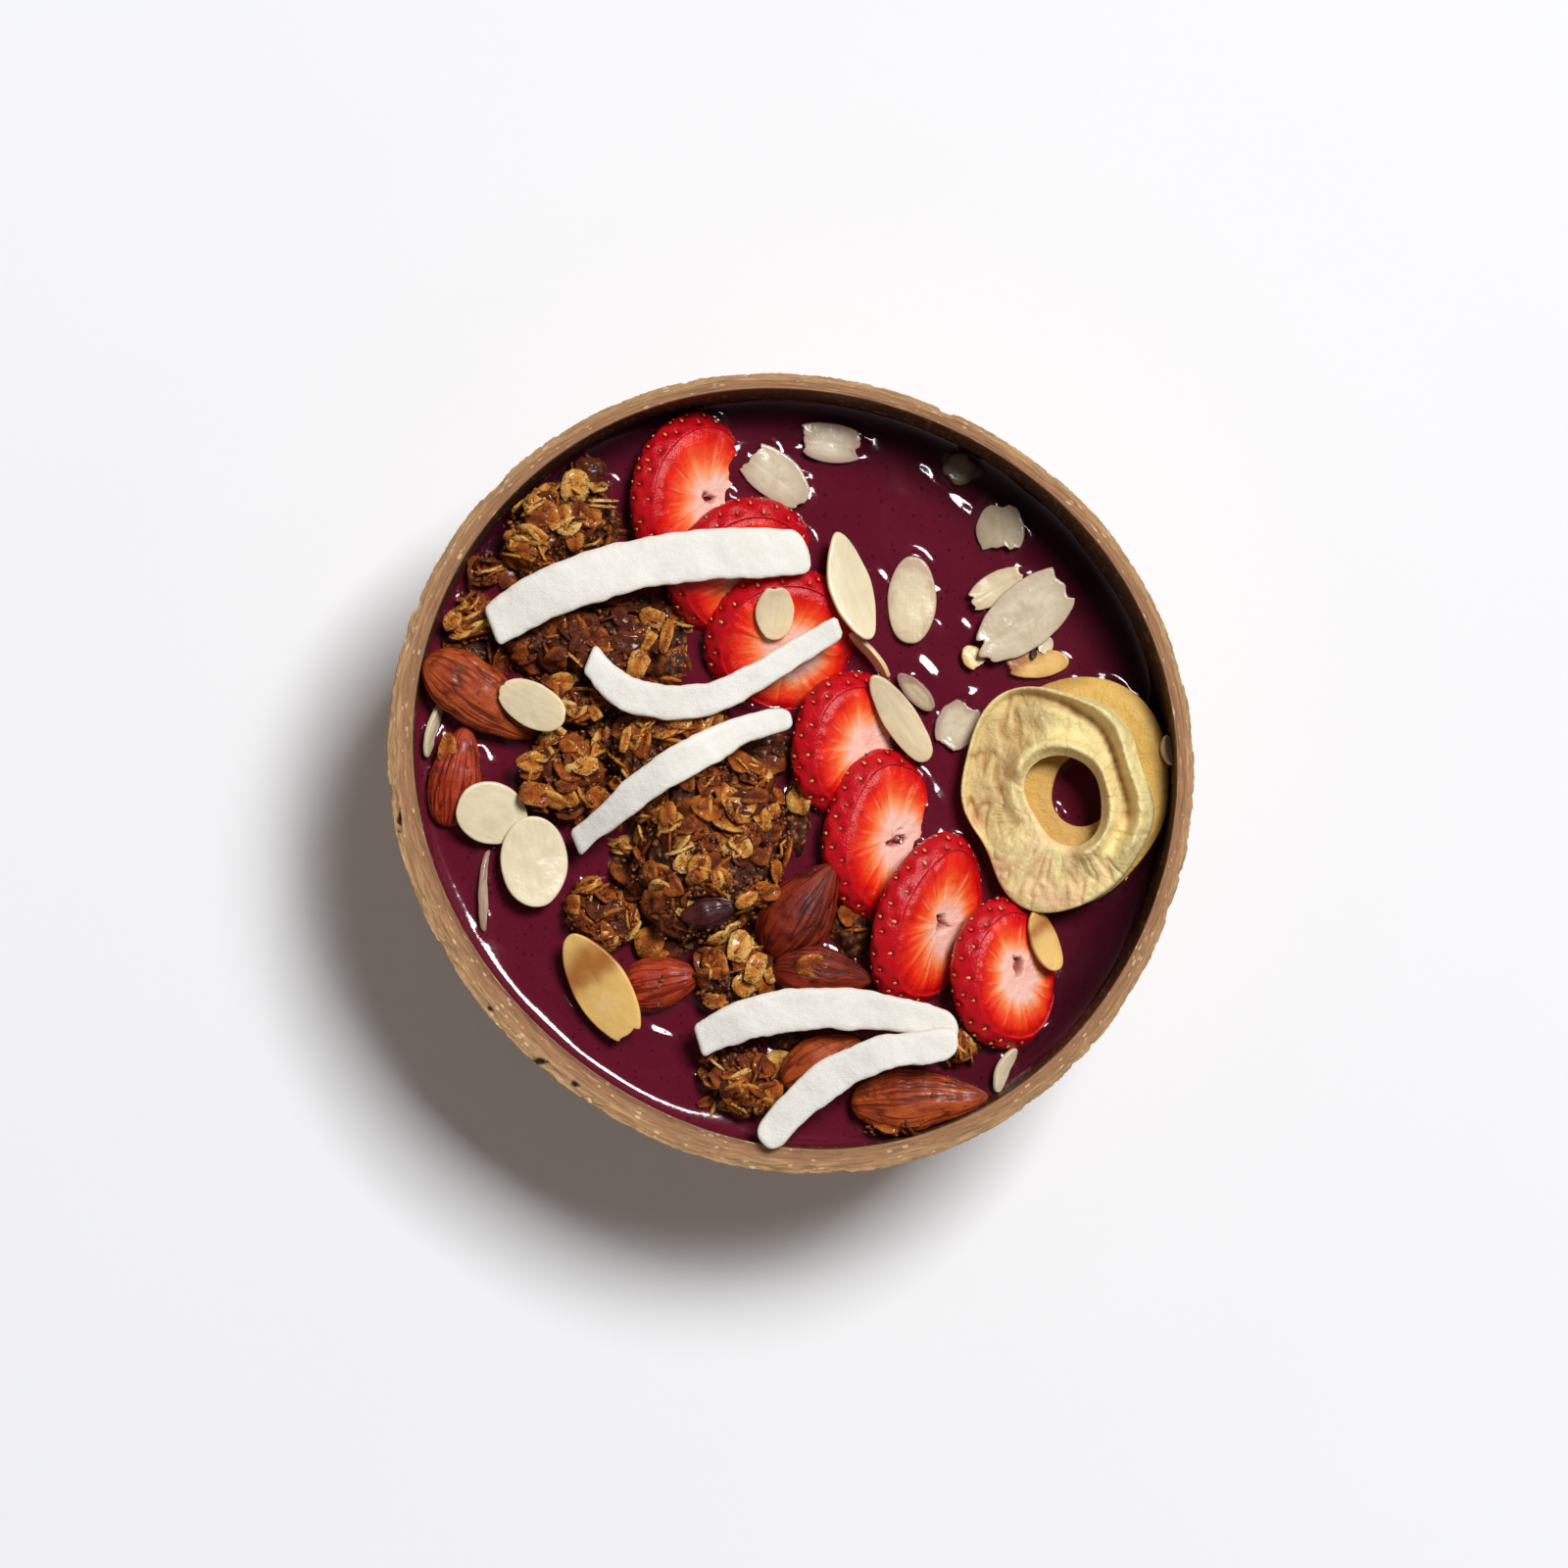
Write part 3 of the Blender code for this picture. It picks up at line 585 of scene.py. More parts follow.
class Shell:
    """The shell's axis and its rim's three rings, each as radii and heights at even azimuths."""

    def __init__(self):
        points = own_points("bowl")
        foot = points[points[:, 2] < 0.01]
        self.axis = foot[:, :2].mean(0)
        count = len(foot)
        across, up = points[:, :2] - self.axis, points[:, 2]
        radius = np.hypot(*across.T)
        azimuth = np.arctan2(across[:, 1], across[:, 0])
        at = np.rint(azimuth / (2 * pi / count)).astype(int) % count
        keep = radius > 1
        order = np.lexsort((-up[keep], at[keep]))
        rings = stacked(radius[keep][order], up[keep][order]).reshape(count, -1, 2)[:, :3]
        rings = np.take_along_axis(rings, np.argsort(rings[..., 0], axis=1)[..., None], axis=1)
        self.inner_edge, self.crest, self.shoulder = np.moveaxis(rings, 1, 0).copy()
        self.shoulder[:, 1] += SQUARED * (self.crest[:, 1] - self.shoulder[:, 1])

    def read(self, ring, azimuth):
        """Radius and height of a rim ring at some azimuths."""
        return stacked(*(round_about(ring[:, k], azimuth) for k in (0, 1)))

    def wall(self, ring, foot, floor, azimuth, share):
        """A wall from the foot (share 0) to a rim ring (share 1): a quarter of an ellipse.

        The ring's waves fade towards the foot as a power of the rise.
        """
        top = self.read(ring, azimuth)
        radius, height = ring.mean(0)
        quarter = share * pi / 2
        turned = foot + (radius - foot) * np.sin(quarter)
        climbed = floor + (height - floor) * (1 - np.cos(quarter))
        rise = climbed / height
        turned = turned + (top[..., 0] - radius) * rise**SWELL_POWER * turned / radius
        return stacked(turned, climbed + (top[..., 1] - height) * rise**2 * turned / radius)

    def inner(self, azimuth, share):
        return self.wall(self.inner_edge, FOOT_RADIUS - 3, FLOOR, azimuth, share)

    def inner_radius(self, azimuth, height):
        """The inner wall's radius at a height, read between finely spaced points of the wall."""
        shares = np.linspace(0.3, 1.0, 60)
        wall = self.inner(azimuth[:, None], shares[None, :])
        above = (wall[..., 1] < height).sum(1).clip(1, len(shares) - 1)
        pick = np.arange(len(azimuth))
        low, high = wall[pick, above - 1], wall[pick, above]
        part = (height - low[:, 1]) / (high[:, 1] - low[:, 1])
        return low[:, 0] + part * (high[:, 0] - low[:, 0])

    def turned(self, azimuth, profile):
        """Row-frame points from radius and height."""
        x = self.axis[0] + profile[..., 0] * np.cos(azimuth)
        y = self.axis[1] + profile[..., 0] * np.sin(azimuth)
        return stacked(x, y, profile[..., 1])


def shell_material(settings):
    """Hard shell, pinkish where sawn and tan with fibres outside, darker and smoother inside, with painted
    shade lower down the inner wall and in the pits.
    """
    material, tree = new_material("coconut_shell")
    grain = tree.attribute("grain", "Vector")
    across = tree.attribute("across")
    fibre = tree.group("Fibres", Grain=grain, Fineness=1.0)
    streak, ridge = fibre["Streak"], fibre["Ridge"]
    thread = tree.noise(tree.scaled(grain, (2.0, 2.0, 3.2)), 1.0, 3.0, 0.65, 0.5)
    mottle = tree.mottle(tree.place(), 7.0, 1.4)
    dashes = tree.scaled(grain, (9.0, 9.0, 3.6))
    pale = tree.specks(dashes, 1.4, 0.5, 0.16)
    edge = tree.plus(across, tree.times(tree.math("SUBTRACT", streak, 0.5), 0.6))
    outside = tree.between(edge, 0.42, 0.62)
    cut = tree.mix(tree.between(thread, 0.3, 0.62), darker(settings.cut, 0.7), settings.cut)
    husk = tree.mix(tree.between(thread, 0.34, 0.6), darker(settings.husk, 0.62), settings.husk)
    colour = tree.mix(outside, cut, husk)
    colour = tree.mix(tree.between(thread, 0.62, 0.75), colour, linear(226, 192, 140))
    inner = tree.mix(tree.between(ridge, 0.3, 0.7), darker(settings.inside, 0.55), settings.inside)
    colour = tree.mix(tree.between(across, -0.04, -0.2), colour, inner)
    stained = tree.mix(0.5, colour, linear(112, 76, 44))
    colour = tree.mix(tree.times(mottle, 0.35), colour, stained)
    colour = tree.mix(tree.times(pale, 0.6), colour, linear(232, 204, 158))
    # Painted shade: the pits are painted near black, as the inside of a crack.
    colour = tree.mix(tree.attribute("pit"), colour, linear(34, 20, 12))
    # Painted shade: the inner wall darkens further down, towards the puree.
    colour = tree.mix(tree.between(across, -0.35, -0.9), colour, darker(settings.inside, 0.35))
    roughness = tree.between(across, -0.3, 0.0, 0.5, 0.8)
    relief = tree.plus(tree.times(ridge, 0.5), tree.times(thread, 0.5))
    tree.finish(colour=colour, roughness=roughness, specular=0.3, normal=tree.bump(relief, 0.45))
    return material


def shell_profile(shell, azimuth):
    """Radius and height of the outer wall, the rim and the inner wall, as rows by azimuth."""
    outer_share = np.linspace(0, 1, OUTER_ROWS)[:, None] ** 0.8
    outer = shell.wall(shell.shoulder, FOOT_RADIUS, 0.0, azimuth, outer_share)
    rings = (shell.shoulder, shell.crest, shell.inner_edge)
    shoulder, crest, edge = (shell.read(ring, azimuth[0]) for ring in rings)
    u = np.linspace(0, 1, RIM_ROWS + 2)[1:-1, None]
    radius = shoulder[:, 0] + (edge[:, 0] - shoulder[:, 0]) * u
    height = shoulder[:, 1] + (crest[:, 1] - shoulder[:, 1]) * smooth(0.0, 0.42, u)
    height = height + (edge[:, 1] - crest[:, 1]) * smooth(0.8, 1.0, u)
    inner_share = 1 - np.linspace(0, 1, INNER_ROWS)[:, None] ** 1.4
    return np.concatenate((outer, stacked(radius, height), shell.inner(azimuth, inner_share)))


def build_shell(settings):
    """The shell: outer wall, rim and inner wall as one profile carried round the azimuth.

    The rim is a rounded step from the shoulder over the crest to the inner edge. Chips and fibres
    cut into the outer side and the crest, and never stand proud of the node. The attribute across
    runs from 3 at the foot to 1 at the shoulder, 0 at the inner edge and -2 at the inner floor.
    """
    shell = Shell()
    azimuth = turns(SHELL_TURNS)[None, :]
    profile = shell_profile(shell, azimuth)
    rows = len(profile)
    marks = (0, OUTER_ROWS - 1, OUTER_ROWS + RIM_ROWS, rows - 1)
    across = np.interp(np.arange(rows), marks, (3.0, 1.0, 0.0, -2.0))
    across = np.broadcast_to(across[:, None], profile.shape[:2])
    points = shell.turned(azimuth, profile)
    run = distance_along(profile[:, 0])
    girth = profile[..., 0].max() / 9
    grain = stacked(np.cos(azimuth) * girth, np.sin(azimuth) * girth, run[:, None])
    fibre = bumps(grain * (1.4, 1.4, 1.5), 1.0, 3, 3)
    lumps = bumps(points, 9.0, 5, 2)
    chips = 0.22 * np.abs(bumps(points, 0.8, 9, 2)) + 0.5 * smooth(0.15, 0.95, bumps(points, 3.0, 12, 3))
    near_shoulder = np.exp(-((across - 0.98) / 0.3) ** 2)
    outside = smooth(0.4, 1.1, across)
    inward = outside * np.maximum(0.14 + 0.1 * fibre + 0.1 * (1 + lumps), 0.1)
    inward = inward + settings.chip / MM * chips * near_shoulder
    foot_fade = smooth(FOOT_RADIUS, FOOT_RADIUS + 6, profile[..., 0])
    profile[..., 0] -= inward * foot_fade
    top = smooth(-0.1, 0.15, across) * (1 - smooth(1.0, 1.3, across))
    profile[..., 1] -= top * (0.12 + 0.12 * fibre + 0.5 * chips * near_shoulder)
    pit = np.zeros(points.shape[:2])
    for place, half in PITS:
        away = np.hypot(*((points[..., :2] - place) / half).transpose(2, 0, 1))
        away = away + 0.5 * bumps(points, 0.9, 15, 2)
        pit = np.maximum(pit, (1 - smooth(0.6, 1.0, away)) * smooth(-0.1, 0.2, across))
    profile[..., 1] = (profile[..., 1] - PIT_DEPTH * pit * top) * UNDER_BOX
    make_piece(
        "coconut_shell", closed_grid(shell.turned(azimuth, profile)), shell_material(settings),
        "shell", ("bowl",),
        grain=closed_values(grain), across=closed_values(across), pit=closed_values(pit),
    )


# ---- Puree ----


class PureeSettings(bpy.types.PropertyGroup):
    colour: colour_property("Colour", "Colour of the fruit puree", 92, 17, 36)
    speck: colour_property("Specks", "Colour of the fine specks of fruit skin", 40, 10, 22)
    climb: length_property("Climb", "How far the puree climbs the wall", 1.6)
    wave: length_property("Waves", "Height of the waves on its surface", 0.32)


PUREE_TURNS = 480
PUREE_ROWS = 164
# The finer rows beside the wall, and the width of the belt that they cover.
SHORE_ROWS = 32
SHORE = 4.5
PUREE_WALL_ROWS = 8
# How far the puree's edge reaches into the wall, and how far its side and underside lie off the
# wall (in radius and in height).
WALL_TUCK = 0.25
SIDE_GAP = np.array((-0.3, 0.3))
RASTER_STEP = 0.4
RASTER_REACH = 72.0
# How far from the wall the puree's climb has faded to about a third.
CLIMB_REACH = 1.0
# The most that the puree is drawn up at a topping, and how widely the toppings' outlines are blurred.
TOPPING_CLIMB = 0.75
TOPPING_REACH = 0.75
# About how far to each side of its line a mound runs out.
MOUND_WIDTH = 1.55
# Low mounds where a spoon dragged the puree: place, half length, direction (degrees), height.
MOUNDS = (
    ((23.2, 53.2), 1.7, -40, 0.42), ((25.6, 50.6), 2.3, -30, 0.42), ((29.0, 47.8), 2.2, -44, 0.42),
    ((31.2, 45.6), 1.4, -62, 0.42), ((16.0, 34.4), 2.4, -58, 0.34),
    ((25.2, 25.2), 1.6, -56, 0.34), ((30.2, 25.8), 2.0, -60, 0.34), ((23.6, 18.4), 2.4, -46, 0.34),
    ((31.8, 14.2), 1.2, -30, 0.34), ((25.8, -4.0), 2.2, -62, 0.34), ((-23.0, -45.4), 2.9, -24, 0.38),
    ((-57.8, 29.8), 2.2, -40, 0.37), ((-53.4, 2.8), 2.2, -40, 0.34), ((-57.8, -9.2), 1.6, -50, 0.36),
    ((-52.8, -15.6), 1.6, -60, 0.34), ((-39.6, -30.6), 1.5, -36, 0.34), ((-38.0, -41.4), 4.5, -56, 0.34),
    ((39.4, -53.4), 2.0, -30, 0.34), ((37.0, 36.2), 1.6, -24, 0.28), ((-1.0, 51.0), 1.6, -40, 0.28),
)


def puree_material(settings):
    """Smooth wet puree with fine dark specks, faint paler clouds and painted shade along the wall at the
    right and back.
    """
    material, tree = new_material("fruit_puree")
    place = tree.place()
    cloud = tree.mottle(place, 11.0, 1.2)
    speck = tree.specks(place, 1.2, 0.3, 0.5)
    fine = tree.specks(place, 0.5, 0.42, 0.6)
    colour = tree.mix(tree.times(cloud, 0.4), settings.colour, linear(108, 32, 48))
    colour = tree.mix(tree.times(fine, 0.3), colour, settings.speck)
    colour = tree.mix(tree.times(speck, 0.6), colour, settings.speck)
    # Painted shade: the rim's shadow and the wall's dark reflection darken the puree along the right and
    # back.
    colour = tree.mix(tree.times(tree.attribute("gloom"), 0.8), colour, linear(22, 5, 10))
    grainy = tree.noise(place, 0.7, 1.0)
    tree.finish(colour=colour, roughness=0.1, specular=0.42, normal=tree.bump(grainy, 0.025))
    return material


def blurred(mask, reach):
    """A raster spread by a bell curve along its rows and columns."""
    half = int(3 * reach / RASTER_STEP)
    bell = np.exp(-0.5 * (np.arange(-half, half + 1) * RASTER_STEP / reach) ** 2)
    bell /= bell.sum()
    for axis in (0, 1):
        shifted = np.stack([np.roll(mask, k, axis=axis) for k in range(-half, half + 1)])
        mask = (bell[:, None, None] * shifted).sum(0)
    return mask


def topping_shores(plan, level):
    """How far the puree is drawn up at each plan point: 1 under a topping, 0 away from it.

    The toppings' outlines at the level fill a raster; its blurred value b gives 2 b, 1 at most.
    """
    axis = np.arange(-RASTER_REACH, RASTER_REACH, RASTER_STEP)
    mask = np.zeros((len(axis), len(axis)))
    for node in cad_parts:
        if node in ("bowl", "puree"):
            continue
        low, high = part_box(node)
        if low.z / MM > level + 1.0:
            continue
        x = np.flatnonzero((axis > low.x / MM) & (axis < high.x / MM))
        y = np.flatnonzero((axis > low.y / MM) & (axis < high.y / MM))
        at = np.stack(np.meshgrid(axis[x], axis[y], indexing="ij"), axis=-1).reshape(-1, 2)
        top = np.nan_to_num(cast_down(at, node), nan=0.0).reshape(len(x), len(y))
        mask[np.ix_(x, y)] = np.maximum(mask[np.ix_(x, y)], top > level + 0.2)
    share = blurred(mask, TOPPING_REACH)
    place = (plan + RASTER_REACH) / RASTER_STEP
    cell = np.clip(place.astype(int), 0, len(axis) - 2)
    part = place - cell
    i, j, u, v = cell[..., 0], cell[..., 1], part[..., 0], part[..., 1]
    low_side = share[i, j] * (1 - u) + share[i + 1, j] * u
    high_side = share[i, j + 1] * (1 - u) + share[i + 1, j + 1] * u
    blend = low_side * (1 - v) + high_side * v
    return np.minimum(2 * blend, 1)


def with_mounds(rise, top):
    """The rise with the mounds added: each a ridge, cut off along its line by a flat-topped bell."""
    wander = 0.45 * bumps(top, 2.6, 23)
    for place, half_length, direction, height in MOUNDS:
        away = top[..., :2] - np.array(place)
        turn = radians(direction)
        along = away[..., 0] * cos(turn) + away[..., 1] * sin(turn)
        across = away[..., 1] * cos(turn) - away[..., 0] * sin(turn) + wander
        slope = 1 - (np.hypot(across, 0.25) - 0.25) / MOUND_WIDTH
        fade = np.exp(-((along / half_length) ** 4))
        rise = rise + height * np.clip(slope, 0, 1) ** 1.15 * fade
    return rise


def build_puree(settings):
    """The puree: a level polar grid with waves, and rims drawn up at the wall and toppings.

    Its height is the level, plus a climb that dies away from the wall as an exponential, plus a
    patchy one along each topping's shore, plus low mounds and smooth noise. Below, it follows the
    inner wall. The attribute gloom marks the belt along the wall at the right and the
    back, where the rim's shadow and the wall's dark reflection are painted into the colour.
    """
    shell = Shell()
    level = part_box("puree")[1].z / MM
    azimuth = turns(PUREE_TURNS)
    wall = shell.inner_radius(azimuth, level + settings.climb / MM) + WALL_TUCK
    open_share = np.linspace(0, 1, PUREE_ROWS, endpoint=False)[1:, None]
    near_wall = np.linspace(1, 0, SHORE_ROWS)[:, None] ** 1.5 * SHORE
    radius = np.concatenate(((wall - SHORE) * open_share, wall - near_wall))
    azimuth = azimuth[None, :]
    top = shell.turned(azimuth, stacked(radius, level))
    from_wall = wall - radius
    rise = settings.climb / MM * np.exp(-from_wall / CLIMB_REACH)
    patchy = np.clip(0.36 + 0.9 * bumps(top, 3.2, 24, 2), 0.0, 1.05)
    shores = topping_shores(top[..., :2], level)
    rise = rise + TOPPING_CLIMB * patchy * shores * smooth(0.5, 2.5, from_wall)
    rise = with_mounds(rise, top)
    # Painted shade: the belt along the right and back wall where the rim's shadow falls.
    right = lobe(azimuth, -58, 96, 26) * (1 - smooth(2.0, 16.0, from_wall))
    back = lobe(azimuth, 84, 150, 14) * (1 - smooth(2.0, 9.0, from_wall))
    gloom = np.maximum(right, back)
    waves = bumps(top, 13.0, 21, 2) + 0.2 * bumps(top, 3.6, 22)
    top[..., 2] += rise + settings.wave / MM * waves * smooth(1.0, 5.0, from_wall)
    down = np.linspace(0.93, 0.0, PUREE_WALL_ROWS)[:, None]
    below = shell.turned(azimuth, shell.inner(azimuth, down) + SIDE_GAP)
    below[..., 2] = np.minimum(below[..., 2], level - 0.5)
    gloom = np.concatenate((gloom, np.broadcast_to(gloom[-1:], below.shape[:2])))
    shape = closed_grid(np.concatenate((top, below)))
    material = puree_material(settings)
    make_piece("fruit_puree", shape, material, "puree", ("puree",), gloom=closed_values(gloom))


# ---- Stage ----


class StageSettings(bpy.types.PropertyGroup):
    floor: FloatVectorProperty(
        name="Floor", description="Colour of the floor", subtype="COLOR", default=(0.86, 0.865, 0.875),
    )
    camera_height: FloatProperty(
        name="Camera height", description="Height of the camera over the table", default=1.25, unit="LENGTH",
    )
    lens: FloatProperty(name="Lens", description="Focal length", default=156.9, unit="CAMERA")
    key_power: FloatProperty(
        name="Key light", description="Power of the key light", default=169.0, unit="POWER",
    )
    key_size: FloatProperty(
        name="Key size", description="Side of the key light", default=1.15, unit="LENGTH",
    )
    key_azimuth: FloatProperty(
        name="Key azimuth", description="Where the key stands", default=radians(48), unit="ROTATION",
    )
    key_elevation: FloatProperty(
        name="Key elevation", description="How high the key stands", default=radians(61.5), unit="ROTATION",
    )
    fill: FloatProperty(name="Fill", description="Strength of the light from low all round", default=0.5)
    overhead: FloatProperty(
        name="Overhead", description="Strength of the light from straight above", default=0.02,
    )


# Distances and sizes of the stage are in metres.
KEY_DISTANCE = 4.0
KEY_COLOUR = (0.985, 1.0, 1.02)
WORLD_COLOUR = (1.0, 0.915, 0.885)
CAMERA_PLACE = (-0.94 * MM, -1.53 * MM)
FLOOR_SIZE = 6.0
FLOOR_ROWS = 3
# The sensor's width is in millimetres, as the lens is.
SENSOR_WIDTH = 36.0


def build_stage(settings):
    """A pale floor, a soft key from the back right, a fill from low all round and a camera above."""
    axis = np.linspace(-FLOOR_SIZE / 2, FLOOR_SIZE / 2, FLOOR_ROWS)
    x, y = np.meshgrid(axis, axis)
    corner = np.arange(FLOOR_ROWS - 1)
    first = (corner[:, None] * FLOOR_ROWS + corner).ravel()
    quads = np.stack((first, first + 1, first + FLOOR_ROWS + 1, first + FLOOR_ROWS), axis=1)
    mesh = bpy.data.meshes.new("table_top")
    points = stacked(x, y, 0.0).reshape(-1, 3)
    mesh.from_pydata(points.tolist(), [], quads.tolist())
    material, tree = new_material("pale_table")
    shade = tree.noise(tree.place(), 0.02, 2.0)
    colour = tree.mix(shade, darker(settings.floor, 0.99), settings.floor)
    tree.finish(colour=colour, roughness=0.9, specular=0.1)
    mesh.materials.append(material)
    placed("table_top", mesh)

    lamp = bpy.data.lights.new("key", "AREA")
    lamp.shape = "SQUARE"
    lamp.size = settings.key_size
    lamp.energy = settings.key_power
    lamp.color = KEY_COLOUR
    key = placed("key", lamp)
    flat = KEY_DISTANCE * cos(settings.key_elevation)
    height = KEY_DISTANCE * sin(settings.key_elevation)
    key.location = (flat * cos(settings.key_azimuth), flat * sin(settings.key_azimuth), height)
    key.rotation_euler = (0.0, pi / 2 - settings.key_elevation, settings.key_azimuth)

    world = bpy.data.worlds.new("studio")
    world.use_nodes = True
    tree = Tree(world.node_tree)
    way = tree.node("ShaderNodeSeparateXYZ", {0: tree.node("ShaderNodeTexCoord").outputs["Generated"]})
    background = world.node_tree.nodes["Background"].inputs
    background["Color"].default_value = (*WORLD_COLOUR, 1.0)
    strength = tree.between(way.outputs["Z"], 0.0, 1.0, settings.fill, settings.overhead, "LINEAR")
    tree.feed(background["Strength"], strength)
    bpy.context.scene.world = world

    camera = bpy.data.cameras.new("camera")
    camera.lens = settings.lens
    camera.sensor_width = SENSOR_WIDTH
    view = placed("camera", camera)
    view.location = (*CAMERA_PLACE, settings.camera_height)
    bpy.context.scene.camera = view
    bpy.context.scene.view_settings.view_transform = "Standard"


# ---- Strawberry slices ----


class StrawberrySettings(bpy.types.PropertyGroup):
    core: colour_property("Core", "Colour of the pale middle", 246, 196, 178)
    flesh: colour_property("Flesh", "Colour between the middle and the edge", 240, 84, 36)
    skin: colour_property("Skin", "Colour of the skin", 206, 12, 28)
    seed_length: length_property("Seed length", "Length of one seed", 1.0)


SLICE_TURNS = 220
FACE_ROWS = 40
FLANK_ROWS = 30
BACK_ROWS = 6
# The slice's half sizes as a share of its node's.
SLICE_SHARE = 0.975
SLICE_THICKNESS = 5.6
# How far the flank stands out below the face.
SLICE_FLARE = 2.6
SEED_SPACING = 4.3
SEED_ROWS = (0.2, 0.42, 0.64, 0.86)
SEED_SINK = 0.22
DIMPLE_RADIUS = 0.85
HOLLOW_DEPTH = 2.0
# For each slice: where its core lies off the middle of its face, where its hollow lies (both in
# millimetres, seen from above), how large the hollow is (0 for none) and how far the red moves in.
SLICE_LOOKS = {
    1: ((4.4, -1.5), (0.2, 0.3), 1.1, 0.02),
    2: ((3.0, -2.0), (0.0, 0.0), 0.0, 0.06),
    3: ((1.5, -1.5), (0.0, 0.0), 0.0, 0.06),
    4: ((3.6, -1.0), (0.0, 0.0), 0.0, 0.02),
    5: ((2.8, -1.0), (0.9, -0.8), 1.5, 0.06),
    6: ((3.0, -0.5), (0.8, 0.4), 1.2, 0.16),
    7: ((0.9, 0.6), (0.7, 2.0), 1.6, 0.04),
}


def strawberry_material(settings):
    """Wet cut fruit: a broad pale core, soft rays running outward, a red edge, and dimpled skin, with
    painted shade in the dimples and the hollows.
    """
    material, tree = new_material("strawberry")
    reach = tree.attribute("reach")
    grain = tree.attribute("grain", "Vector")
    place = tree.place()
    rays = tree.noise(tree.scaled(grain, (4.5, 4.5, 0.5)), 1.0, 2.0, 0.55, 0.2)
    coarse = tree.noise(tree.scaled(grain, (1.4, 1.4, 0.6)), 1.0, 1.0)
    shift = tree.plus(tree.times(rays, 0.36), tree.times(coarse, 0.26))
    at = tree.plus(reach, tree.math("SUBTRACT", shift, 0.31))
    core, flesh, skin = settings.core, settings.flesh, settings.skin
    face = tree.ramp(
        at, (0.0, core), (0.42, core), (0.56, linear(250, 146, 92)), (0.68, flesh),
        (0.84, linear(230, 34, 14)), (0.96, linear(196, 8, 14)),
    )
    thread = tree.noise(tree.scaled(grain, (8.0, 8.0, 0.3)), 1.0, 1.0)
    band = tree.times(tree.between(reach, 0.35, 0.5), tree.between(reach, 0.88, 0.66))
    thread = tree.times(tree.between(thread, 0.54, 0.7), band)
    face = tree.mix(tree.times(thread, 0.32), face, linear(250, 186, 140))
    blush = tree.mottle(place, 3.2, 1.3)
    face = tree.mix(tree.times(tree.between(blush, 0.4, 0.9), 0.3), face, linear(236, 92, 62))
    flank = tree.mix(blush, darker(skin, 0.7), skin)
    # Painted shade: the dimples round the seeds are darker red.
    flank = tree.mix(tree.between(tree.attribute("dimple"), 0.3, 0.95), flank, linear(132, 4, 16))
    colour = tree.mix(tree.between(reach, 0.97, 1.03), face, flank)
    # Painted shade: the hollow in the face is a dull darker red.
    colour = tree.mix(tree.attribute("hollow"), colour, linear(158, 66, 52))
    grainy = tree.noise(place, 2.4, 3.0, 0.6)
    tree.finish(colour=colour, roughness=0.26, specular=0.3, normal=tree.bump(grainy, 0.14))
    return material


def seed_material():
    """Golden seeds, some of them redder."""
    material, tree = new_material("strawberry_seed")
    tone = tree.noise(tree.place(), 0.5, 0.0)
    colour = tree.ramp(tone, (0.42, linear(214, 70, 40)), (0.62, linear(236, 158, 84)))
    tree.finish(colour=colour, roughness=0.3)
    return material


